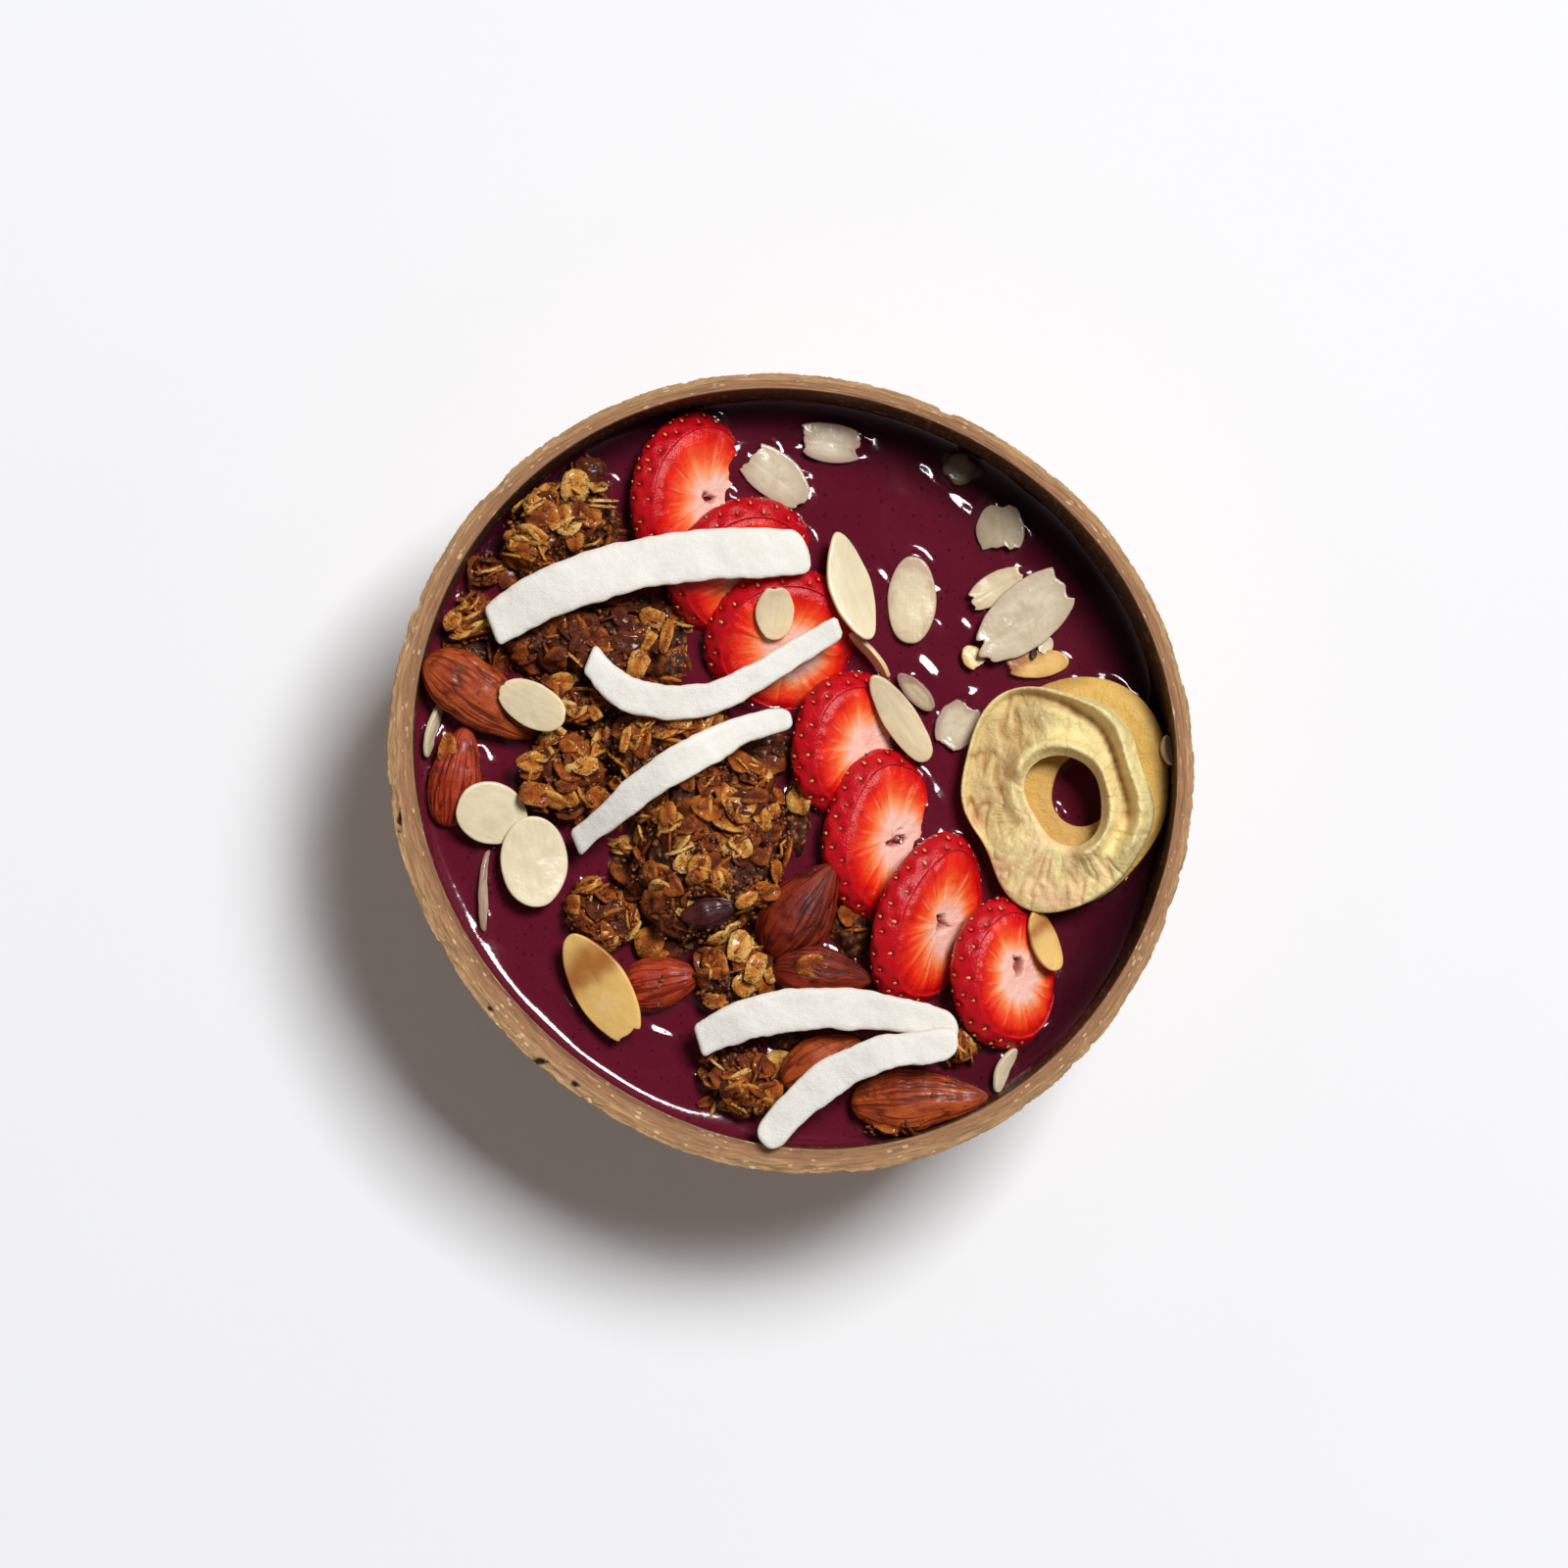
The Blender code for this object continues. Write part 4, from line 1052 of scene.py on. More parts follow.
class Slice:
    """One strawberry slice about its cut face: the face's ellipse, a flared flank and a back."""

    def __init__(self, number):
        self.number = number
        self.centre, self.axes, self.half = flat_face(f"strawberry_{number}")
        self.half = self.half * SLICE_SHARE
        core, hollow, self.hollow_size, self.redness = SLICE_LOOKS[number]
        self.core, self.hollow = (self.axes[:2, :2] @ np.array(place) for place in (core, hollow))

    def core_reach(self, x, y):
        """0 at the core and 1 at the edge: the circle through a point whose centre slides outward.

        With q the point and c the core in shares of the half sizes, it solves
        |q - c (1 - r)| = r for r.
        """
        q = stacked(x / self.half[0], y / self.half[1])
        c = self.core / self.half
        off = q - c
        along = off @ c
        left = 1 - c @ c
        return (along + np.sqrt(along**2 + left * (off**2).sum(-1))) / left

    def outline(self, azimuth):
        """Share of the half sizes at an azimuth, slightly uneven."""
        three, five = 3 * azimuth + self.number, 5 * azimuth + 2 * self.number
        return 1 + 0.02 * np.cos(three) + 0.012 * np.cos(five)

    def flank(self, azimuth, depth, lift=0.0):
        """Local points on the flank at a depth share, 0 at the face and 1 at the back."""
        flare = SLICE_FLARE * np.sin(depth * 0.75 * pi) + lift
        x = np.cos(azimuth) * (self.half[0] * self.outline(azimuth) + flare)
        y = np.sin(azimuth) * (self.half[1] * self.outline(azimuth) + flare)
        return stacked(x, y, -depth * SLICE_THICKNESS)

    def seeds(self, random):
        """Azimuth and depth share of each seed, in staggered rows."""
        count = int(2 * pi * self.half.mean() / SEED_SPACING)
        rows = []
        for row, depth in enumerate(SEED_ROWS):
            place = np.arange(count) + 0.5 * (row % 2) + random.uniform(-0.16, 0.16, count)
            azimuth = place * 2 * pi / count
            rows.append(np.stack((azimuth, depth + random.uniform(-0.05, 0.05, count)), axis=1))
        return np.concatenate(rows)

    def to_frame(self, points):
        return self.centre + points @ self.axes

    def surface(self, seeds):
        """Points of face, flank and back, row by row outward and down, and their attributes.

        The face has soft spokes, a rounded edge and, on some slices, a hollow. The flank is
        dimpled round each seed, as a bell curve of the distance to it.
        """
        azimuth = turns(SLICE_TURNS)[None, :]
        share = np.linspace(0, 1, FACE_ROWS + 1)[1:, None] ** 0.8
        uneven = self.outline(azimuth)
        x = np.cos(azimuth) * share * self.half[0] * uneven
        y = np.sin(azimuth) * share * self.half[1] * uneven
        spoke = stacked(8 * np.cos(azimuth), 8 * np.sin(azimuth), 1.5 * share)
        relief = 0.1 * bumps(spoke, 1.0, 30 + self.number, 2) * smooth(0.25, 0.6, share)
        relief = relief + 0.12 * smooth(0.5, 0.85, share) - 0.55 * smooth(0.8, 1.0, share) ** 2
        place = stacked(x, y, 0.0)
        relief = relief + 0.07 * bumps(place, 1.1, 40 + self.number, 2)
        hollow = np.zeros_like(x)
        if self.hollow_size:
            away = np.hypot(x - self.hollow[0], y - self.hollow[1])
            away = away + 0.9 * bumps(place, 1.3, 50 + self.number, 2)
            hollow = 1 - smooth(0.35 * self.hollow_size, self.hollow_size, away)
            relief = relief - HOLLOW_DEPTH * hollow
        face = stacked(x, y, relief)
        depth = np.linspace(0, 1, FLANK_ROWS + 1)[1:, None]
        flank = self.flank(azimuth, depth)
        sites = self.flank(seeds[:, 0], seeds[:, 1])
        gap = np.full(flank.shape[:2], np.inf)
        for site in sites:
            gap = np.minimum(gap, np.linalg.norm(flank - site, axis=-1))
        dimple = np.exp(-((gap / DIMPLE_RADIUS) ** 2))
        swell = 0.14 * smooth(0.5, 1.6, gap) - 0.26 * dimple + 0.08 * bumps(flank, 2.0, 60 + self.number, 2)
        ends = smooth(0.0, 0.12, depth) * (1 - smooth(0.9, 1.0, depth))
        flank = self.flank(azimuth, depth, swell * ends - 0.25)
        inward = np.linspace(0.9, 0.1, BACK_ROWS)[:, None]
        back = flank[-1:] * stacked(inward, inward, 1.0)
        points = np.concatenate((face, flank, back))
        flat = self.core_reach(x, y)
        flat = flat + self.redness * (1 - flat)
        reach = np.concatenate((flat, 1 + 0.05 + depth + 0 * azimuth, np.full(back.shape[:2], 2.1)))
        nothing = np.zeros(back.shape[:2])
        grain = stacked(np.cos(azimuth), np.sin(azimuth), reach)
        return self.to_frame(points), {
            "reach": closed_values(reach),
            "grain": closed_values(grain),
            "dimple": closed_values(np.concatenate((np.zeros_like(x), dimple, nothing))),
            "hollow": closed_values(np.concatenate((hollow, np.zeros_like(dimple), nothing))),
        }

    def seed_frames(self, seeds):
        """Places and axes of the seeds: along the depth, round the slice, and outward."""
        step = 0.01
        azimuth, depth = seeds.T
        at = self.flank(azimuth, depth)
        deeper = unit(self.flank(azimuth, depth + step) - at)
        beside = self.flank(azimuth + step, depth) - at
        out = unit(np.cross(beside, deeper))
        out *= np.sign((out * at * (1, 1, 0)).sum(1))[:, None]
        frames = np.stack((deeper, np.cross(out, deeper), out), axis=1)
        return self.to_frame(at), frames @ self.axes


def grain_of(length, width, height, rows, columns):
    """A small drop-shaped body as a closed grid: length along x, blunt at one end."""
    along = np.cos(np.linspace(0, pi, rows + 2)[1:-1])[:, None]
    azimuth = turns(columns)[None, :]
    girth = np.sqrt(1 - along**2) * (1 - 0.3 * along)
    y = girth * np.cos(azimuth) * width / 2
    z = girth * np.sin(azimuth) * height / 2
    return closed_grid(stacked(along * length / 2, y, z))


def build_strawberries(settings):
    """Seven slices, and their seeds as one piece of many small drops."""
    random = np.random.default_rng(11)
    material = strawberry_material(settings)
    places, frames = [], []
    for number, node in enumerate(STRAWBERRIES, 1):
        one = Slice(number)
        seeds = one.seeds(random)
        points, attributes = one.surface(seeds)
        make_piece(
            f"strawberry_slice_{number}", closed_grid(points), material, "strawberry", (node,),
            **attributes,
        )
        place, frame_axes = one.seed_frames(seeds)
        places.append(place)
        frames.append(frame_axes)
    places, frames = np.concatenate(places), np.concatenate(frames)
    drop, quads, triangles = grain_of(1.0, 0.55, 0.3, 4, 6)
    size = settings.seed_length / MM * random.uniform(0.85, 1.15, len(places))
    drops = np.einsum("pk,nkc,n->npc", drop, frames, size)
    points = places[:, None] + drops - SEED_SINK * frames[:, 2][:, None]
    shape = repeated(points, quads, triangles)
    make_piece("strawberry_seeds", shape, seed_material(), "strawberry")


# ---- Almonds and the dried fruit ----


class AlmondSettings(bpy.types.PropertyGroup):
    skin: colour_property("Skin", "Colour of the almond skin", 152, 58, 24)
    # The ribs' paler colour is partly the skin's own and partly a painted highlight.
    rib: colour_property("Ribs", "Colour of the ribs along the skin", 188, 90, 42)
    flake: colour_property("Flakes", "Colour of the sliced almond", 236, 222, 186)
    rib_depth: length_property("Rib depth", "Depth of the ribs", 0.22)


ALMOND_ROWS = 90
ALMOND_TURNS = 260
# How fine the noise is round an almond that its furrows follow.
ALMOND_RIBS = 4.4
# How far the skin lies inside the node in width and thickness.
SKIN_INSET = 0.3
# Almonds, by number, whose skin is darker or redder than most.
DARK_ALMONDS = (3, 5)
RED_ALMONDS = (2, 4)


def almond_material(name, skin, rib, glaze):
    """Ribbed skin, darker in the furrows and paler on the ribs, partly its own lines and partly painted
    shade and highlight, with specks of crumb and a sugar glaze in patches.
    """
    material, tree = new_material(name)
    furrow = tree.attribute("furrow")
    grain = tree.attribute("grain", "Vector")
    place = tree.place()
    streak = tree.group("Fibres", Grain=grain, Fineness=1.0)["Streak"]
    share = tree.plus(tree.times(furrow, 0.5), tree.times(streak, 0.85))
    # Paler ribs and darker furrows: partly the skin's own lines, partly a painted highlight on the ribs and
    # painted shade in the furrows.
    colour = tree.ramp(share, (0.3, rib), (0.55, skin), (0.9, darker(skin, 0.4)))
    mottle = tree.mottle(place, 3.0, 1.8)
    colour = tree.mix(tree.between(mottle, 0.5, 0.9), colour, darker(skin, 0.4))
    crumb = tree.specks(place, 1.3, 0.34, 0.35)
    colour = tree.mix(tree.times(crumb, 0.6), colour, linear(70, 26, 18))
    wet = tree.between(tree.noise(place, 0.35, 2.0), 0.45, 0.6)
    rough = tree.mix(0.5, streak, tree.noise(place, 2.2, 3.0, 0.7))
    tree.finish(
        colour=colour, roughness=tree.between(wet, 0.0, 1.0, 0.5, 0.32), specular=0.18,
        coat=tree.times(wet, glaze), coat_roughness=0.2, coat_ior=1.35, normal=tree.bump(rough, 0.3),
    )
    return material


def nut_shape(node, seed, ribs, rib_depth, taper=0.3):
    """An egg drawn to a point: girth shrinks as the root of 1 - s squared, furrows run its length.

    The furrows lie where a noise drawn out along the nut passes through zero; ribs is how fine
    that noise is round the nut.
    """
    centre, axes, half = solid_axes(node)
    points = own_points(node)
    along = (points - centre) @ axes[0] / half[0]
    girth = np.linalg.norm(np.cross(points - centre, axes[0]), axis=1)
    if girth[along > 0.3].mean() > girth[along < -0.3].mean():
        axes = axes * np.array((-1, -1, 1))[:, None]
    s = -np.cos(np.linspace(0, pi, ALMOND_ROWS + 2)[1:-1])[:, None]
    azimuth = turns(ALMOND_TURNS)[None, :]
    body = np.sqrt(1 - s**2) * (1 - taper * s - 0.14 * s**2) / 1.02
    local = stacked(s * half[0], body * np.cos(azimuth), body * np.sin(azimuth))
    around = stacked(s * half[0] / 11, ribs * np.cos(azimuth), ribs * np.sin(azimuth))
    line = np.abs(bumps(around, 1.0, seed, 2))
    fade = np.clip(body, 0, 1) ** 0.5
    furrow = np.clip(1 - 3.0 * line, 0, 1) ** 1.5
    depth = rib_depth * fade * (furrow + 0.8 * bumps(around * 0.5, 1.0, seed + 3, 2))
    lumpy = 0.35 * bumps(local, 3.0, seed + 7, 2)
    y = local[..., 1] * (half[1] - depth - SKIN_INSET + lumpy)
    z = local[..., 2] * (half[2] - depth - SKIN_INSET + lumpy)
    points = stacked(local[..., 0] * 0.985, y, z) @ axes + centre
    grain = stacked(s * half[0] / 5, 3.5 * np.cos(azimuth), 3.5 * np.sin(azimuth))
    attributes = {"furrow": closed_values(furrow), "grain": closed_values(grain)}
    return closed_grid(points), attributes


def build_almonds(settings):
    """Seven almonds with ribbed skins, and the dark dried fruit."""
    whole = almond_material("almond_skin", settings.skin, settings.rib, 0.45)
    red = almond_material("almond_skin_red", linear(148, 42, 18), linear(190, 72, 38), 0.4)
    dark = almond_material("almond_skin_dark", linear(108, 28, 10), linear(140, 48, 22), 0.1)
    for number, node in enumerate(ALMONDS, 1):
        shape, attributes = nut_shape(node, 70 + number, ALMOND_RIBS, settings.rib_depth / MM)
        material = dark if number in DARK_ALMONDS else red if number in RED_ALMONDS else whole
        make_piece(f"almond_whole_{number}", shape, material, "almond", (node,), **attributes)
    fruit = almond_material("dried_fruit_skin", linear(58, 16, 20), linear(84, 30, 30), 1.0)
    shape, attributes = nut_shape("dried_fruit", 90, 1.2, 0.4, 0.0)
    make_piece("dried_fruit_piece", shape, fruit, "dried_fruit", ("dried_fruit",), **attributes)


# ---- Almond flakes ----


FLAKE_TURNS = 72
FLAKE_TOP_ROWS = 14
FLAKE_EDGE_ROWS = 5
FLAKE_BACK_ROWS = 6
FLAKE_THICKNESS = 0.9
# The flake's half sizes as a share of its node's, and how far its top lies below the node's.
FLAKE_SHARE = 0.97
FLAKE_SINK = 0.05
# Looks of the flakes, by node number: how pointed (0 oval to 1), how far the two ends are broken
# off (0 none to 1), how toasted, how soaked (grey and see-through looking), how stained by the
# puree, how ragged the edge, and the cup of the surface in mm.
FLAKE_LOOKS = {
    1: (0.2, 0.1, 0.5, 0.0, 0.75, 0.3, 0.5, 0.4), 2: (0.0, 0.45, 0.5, 0.0, 1.0, 0.5, 0.4, 0.2),
    3: (0.0, 0.2, 0.3, 0.2, 1.0, 0.9, 0.6, 0.2), 4: (0.1, 0.5, 0.3, 0.15, 0.7, 0.2, 0.6, 0.4),
    5: (0.15, 0.0, 0.0, 0.25, 0.25, 0.35, 0.1, 0.3), 6: (0.2, 0.0, 0.2, 1.0, 0.0, 0.3, 0.3, 0.3),
    7: (0.1, 0.3, 0.3, 0.25, 0.1, 0.2, 0.7, 0.5), 8: (0.35, 0.28, 0.12, 0.0, 0.8, 0.2, 0.8, 0.4),
    9: (0.1, 0.0, 0.0, 0.2, 0.7, 0.6, 0.3, 0.2), 10: (0.1, 0.2, 0.3, 0.0, 0.8, 0.5, 0.6, 0.3),
    11: (0.0, 0.0, 0.0, 0.05, 0.3, 0.05, 0.15, 0.5), 12: (0.0, 0.0, 0.0, 0.0, 0.2, 0.0, 0.1, 0.6),
    13: (0.35, 0.1, 0.0, 1.0, 0.0, 0.0, 0.15, 0.4), 14: (0.55, 0.0, 0.0, 0.05, 0.15, 0.0, 0.1, 0.7),
    15: (0.6, 0.0, 0.25, 0.35, 0.1, 0.0, 0.25, 0.3), 16: (0.5, 0.0, 0.0, 0.3, 0.2, 0.1, 0.4, 0.4),
    17: (0.3, 0.0, 0.1, 0.2, 0.1, 0.0, 0.2, 0.5), 18: (0.2, 0.0, 0.0, 1.0, 0.1, 0.1, 0.2, 0.4),
    19: (0.3, 0.0, 0.0, 0.7, 0.2, 0.1, 0.2, 0.2), 20: (0.4, 0.0, 0.0, 0.15, 0.3, 0.1, 0.2, 0.2),
    21: (0.4, 0.0, 0.0, 0.1, 0.6, 0.6, 0.2, 0.2), 22: (0.4, 0.0, 0.0, 0.1, 0.3, 0.1, 0.2, 0.3),
}
# Painted shade: the flakes that lie in the shade of the wall, and how far their colour is darkened for it.
FLAKE_PAINTED_SHADE = {3: 0.75, 4: 0.4}
# Where the brown band lies along a toasted flake, and its half width, in shares of the half length;
# and the direction in which that is measured.
TOAST_BAND = (-0.42, 0.3)
TOAST_WAY = (0.62, -0.78, 0.0)
# Further small flakes, listed one by one: place, half sizes, direction and lean (degrees), darkening
# (painted shade for the flake by the wall, its own dark brown for the last, a speck), look.
SMALL_FLAKES = (
    ((32.2, 20.6, 51.9), (2.3, 2.0), 130, 10, 0.0, (0.3, 0.3, 0.0, 0.9, 0.1, 0.3, 0.4, 0.2)),
    ((44.9, 22.6, 52.0), (1.8, 1.4), 60, 15, 0.0, (0.2, 0.3, 0.0, 0.1, 0.5, 0.1, 0.4, 0.2)),
    ((66.0, 4.4, 58.0), (2.7, 1.2), 100, 40, 0.1, (0.4, 0.0, 0.1, 0.1, 0.2, 0.0, 0.2, 0.3)),
    ((42.8, 21.3, 53.0), (0.9, 0.6), 80, 10, 1.0, (0.6, 0.0, 0.0, 1.0, 0.0, 0.0, 0.4, 0.1)),
)


def flake_material(settings):
    """Sliced almond: cream, brown where toasted, greyer where soaked, stained, dark in the shade."""
    material, tree = new_material("almond_flake")
    reach = tree.attribute("reach")
    grain = tree.attribute("grain", "Vector")
    toast, soak, stain = tree.attribute("toast"), tree.attribute("soak"), tree.attribute("stain")
    place = tree.place()
    cloud = tree.mottle(place, 3.4, 1.5)
    cream = settings.flake
    colour = tree.mix(tree.between(reach, 0.3, 1.0), darker(cream, 0.92), cream)
    streak = tree.noise(tree.scaled(grain, (0.2, 1.8, 1.0)), 1.0, 2.0)
    streak = tree.times(tree.between(streak, 0.45, 0.7), 0.3)
    colour = tree.mix(streak, colour, linear(214, 188, 134))
    soaked = tree.mix(tree.between(cloud, 0.25, 0.75), linear(184, 164, 136), linear(220, 206, 182))
    colour = tree.mix(tree.times(soak, 0.85), colour, soaked)
    edge = tree.between(reach, 0.35, 1.05)
    warmth = tree.plus(tree.times(edge, 0.45), tree.times(cloud, 0.8))
    brown = tree.mix(tree.attribute("band"), linear(232, 188, 110), linear(172, 108, 48))
    most_toasted = tree.between(toast, 0.8, 1.0, 0.0, 0.6)
    warmth = tree.plus(tree.math("MINIMUM", warmth, 1.0), most_toasted)
    colour = tree.mix(tree.times(toast, tree.math("MINIMUM", warmth, 1.0)), colour, brown)
    shore = tree.plus(reach, tree.times(cloud, 0.8))
    stained = tree.times(stain, tree.between(shore, 0.9, 1.4))
    colour = tree.mix(stained, colour, linear(128, 52, 66))
    # Painted shade on the flakes in the wall's shade; on the dark speck, its own dark brown.
    colour = tree.mix(tree.attribute("dim"), colour, linear(48, 34, 22))
    roughness = tree.between(soak, 0.0, 1.0, 0.34, 0.2)
    grainy = tree.noise(place, 1.2, 2.0)
    tree.finish(colour=colour, roughness=roughness, specular=0.45, normal=tree.bump(grainy, 0.07))
    return material


def flake_points(half, look, seed):
    """A flake about its own middle: an oval, pointed or broken at its ends, cupped, thin at the edge.

    The rows run over the top, round the edge and back under; reach is their share of the outline.
    """
    pointed, first_cut, last_cut, _, _, _, ragged, cup = look
    azimuth = turns(FLAKE_TURNS)[None, :]
    top = np.linspace(0, 1, FLAKE_TOP_ROWS + 1)[1:, None] ** 0.85
    turn = np.linspace(0, pi, FLAKE_EDGE_ROWS + 2)[1:-1, None]
    under = np.linspace(0.94, 0.1, FLAKE_BACK_ROWS)[:, None]
    reach = np.concatenate((top * 0.95, 0.95 + 0.05 * np.sin(turn), under))
    side = np.concatenate((np.ones_like(top), np.cos(turn), -np.ones_like(under)))
    height = side * FLAKE_THICKNESS / 2
    narrow = 1 - 0.5 * pointed * np.clip(np.cos(azimuth), 0, 1) ** 1.5 - 0.1 * pointed
    ring = stacked(3 * np.cos(azimuth), 3 * np.sin(azimuth), seed * 5.3)
    uneven = 1 + 0.06 * bumps(ring, 2.4, seed) + 0.04 * ragged * bumps(ring, 1.0, seed + 1, 2)
    x, y = np.cos(azimuth) * uneven, np.sin(azimuth) * uneven
    break_line = 0.11 * bumps(ring * 0.9, 1.0, seed + 5, 2)
    x = np.maximum(x, -(1 - 0.7 * first_cut + break_line)) if first_cut else x
    x = np.minimum(x, 1 - 0.7 * last_cut + break_line) if last_cut else x
    x, y = x * reach * half[0], y * reach * half[1] * narrow
    bow = cup * (reach * np.cos(azimuth)) ** 2 - 0.5 * cup * (reach * np.sin(azimuth)) ** 2
    place = stacked(x, y, seed * 3.0)
    on_seam = (np.abs(x) < 0.6 * half[0]) * (height > 0)
    seam = -0.07 * min(1.0, 2 * ragged) * np.exp(-((y / 0.4) ** 2)) * on_seam
    z = height * (1 - 0.12 * reach**4) + bow + 0.14 * bumps(place, 3.4, seed, 2) + seam
    return stacked(x, y, z), reach + 0 * azimuth


def make_flake(number, nodes, points, local, reach, look, dim, material, **more):
    """One flake as a piece; its toast, soak, stain and darkening (painted shade, and on the dark speck its
    own brown) are the same all over it.
    """
    looks = {"toast": look[3], "soak": look[4], "stain": look[5], "dim": dim}
    more.update((key, np.full(reach.size + 2, value)) for key, value in looks.items())
    make_piece(
        f"almond_slice_{number:02d}", closed_grid(points), material, "flake", nodes,
        reach=closed_values(reach), grain=closed_values(local + number * 9.0), **more,
    )


def build_flakes(settings):
    """The almond flakes: one on the plane of each node, and the small listed ones."""
    material = flake_material(settings)
    for number, node in enumerate(FLAKES, 1):
        centre, axes, half = flat_face(node)
        look, dim = FLAKE_LOOKS[number], FLAKE_PAINTED_SHADE.get(number, 0.0)
        local, reach = flake_points(half * FLAKE_SHARE, look, number)
        local[..., 2] -= FLAKE_THICKNESS / 2 + FLAKE_SINK
        points = local @ axes + centre
        along = (points - centre) @ np.array(TOAST_WAY) / half[0] + 0.12 * bumps(points, 2.4, number)
        band = closed_values(np.exp(-(((along - TOAST_BAND[0]) / TOAST_BAND[1]) ** 2)))
        make_flake(number, (node,), points, local, reach, look, dim, material, band=band)
    first = len(FLAKES) + 1
    for number, (place, half, direction, lean, dim, look) in enumerate(SMALL_FLAKES, first):
        local, reach = flake_points(np.array(half), look, number)
        turn, lean = radians(direction), radians(lean)
        axes = np.array((
            (cos(turn), sin(turn), 0.0),
            (-sin(turn) * cos(lean), cos(turn) * cos(lean), sin(lean)),
            (sin(turn) * sin(lean), -cos(turn) * sin(lean), cos(lean)),
        ))
        make_flake(number, (), local @ axes + place, local, reach, look, dim, material)


# ---- Coconut strips ----


class CoconutSettings(bpy.types.PropertyGroup):
    colour: colour_property("Colour", "Colour of the dry coconut", 244, 240, 231)
    ragged: length_property("Ragged edge", "How far the cut edges wander", 0.22)


STRIP_ROWS = 200
STRIP_TURNS = 64
# The middle line of each strip in plan, its widths along it, how far each end is cut askew (run
# per width) and how far its top tilts.
STRIP_LINES = (
    (
        ((-52.1, 25.9), (-42.0, 31.6), (-28.3, 36.2), (-14.6, 38.3), (3.4, 38.9)),
        (7.6, 9.6, 9.4, 9.2), (0.15, -0.25), 0.0,
    ), (
        ((-35.0, 20.3), (-29.4, 14.9), (-21.7, 12.7), (-10.5, 14.6), (8.8, 26.0)),
        (5.6, 6.6, 6.2, 4.8), (-0.4, 0.2), 0.1,
    ), (
        ((-37.4, -12.0), (-23.8, -1.0), (-15.2, 4.1), (-8.0, 8.0), (0.4, 9.9)),
        (4.6, 6.9, 6.0, 4.2), (0.3, 0.0), 0.1,
    ), (
        ((-16.0, -46.4), (-7.8, -42.6), (2.5, -40.7), (16.5, -41.3), (29.4, -44.2)),
        (6.6, 7.8, 7.6, 5.6), (0.15, -0.3), 0.12,
    ), (
        ((-4.7, -64.2), (0.8, -58.0), (7.6, -52.2), (16.2, -48.4), (29.3, -46.4)),
        (5.6, 7.2, 6.6, 6.4), (0.1, 0.2), 0.05,
    ),
)
STRIP_THICKNESS = 2.0
# How many rows the height of a strip's node is averaged over.
STRIP_AVERAGE = 25
# Over how much of its length, at each end, a strip is cut askew.
SKEW_RUN = 7
# How much quick noise each strip's edges have.
FUZZ = (0.35, 1.0, 1.0, 1.0, 1.0)
# How far back from each end of a strip it is rounded off.
STRIP_ENDS = ((0.9, 2.4), (0.9, 1.2), (0.7, 2.0), (1.0, 2.6), (3.2, 2.6))


def coconut_material(settings):
    """Dry white coconut flesh: faint warm blotches, painted shade on the cut sides and underneath, with a
    sugary fuzz.
    """
    material, tree = new_material("dry_coconut")
    place = tree.place()
    side = tree.attribute("side")
    cloud = tree.mottle(place, 4.0, 1.4)
    shade, cut = tree.between(cloud, 0.35, 0.85), tree.between(side, 0.55, 1.0)
    colour = tree.mix(tree.times(shade, 0.5), settings.colour, linear(228, 220, 204))
    # Painted shade: the sides and the underside are darker.
    colour = tree.mix(tree.times(cut, 0.4), colour, linear(214, 200, 176))
    fuzz = tree.noise(place, 4.5, 3.0, 0.7)
    lumpy = tree.noise(place, 0.9, 2.0)
    both = tree.plus(tree.times(lumpy, 0.5), tree.times(fuzz, 0.5))
    tree.finish(colour=colour, roughness=0.6, specular=0.25, normal=tree.bump(both, 0.3))
    return material


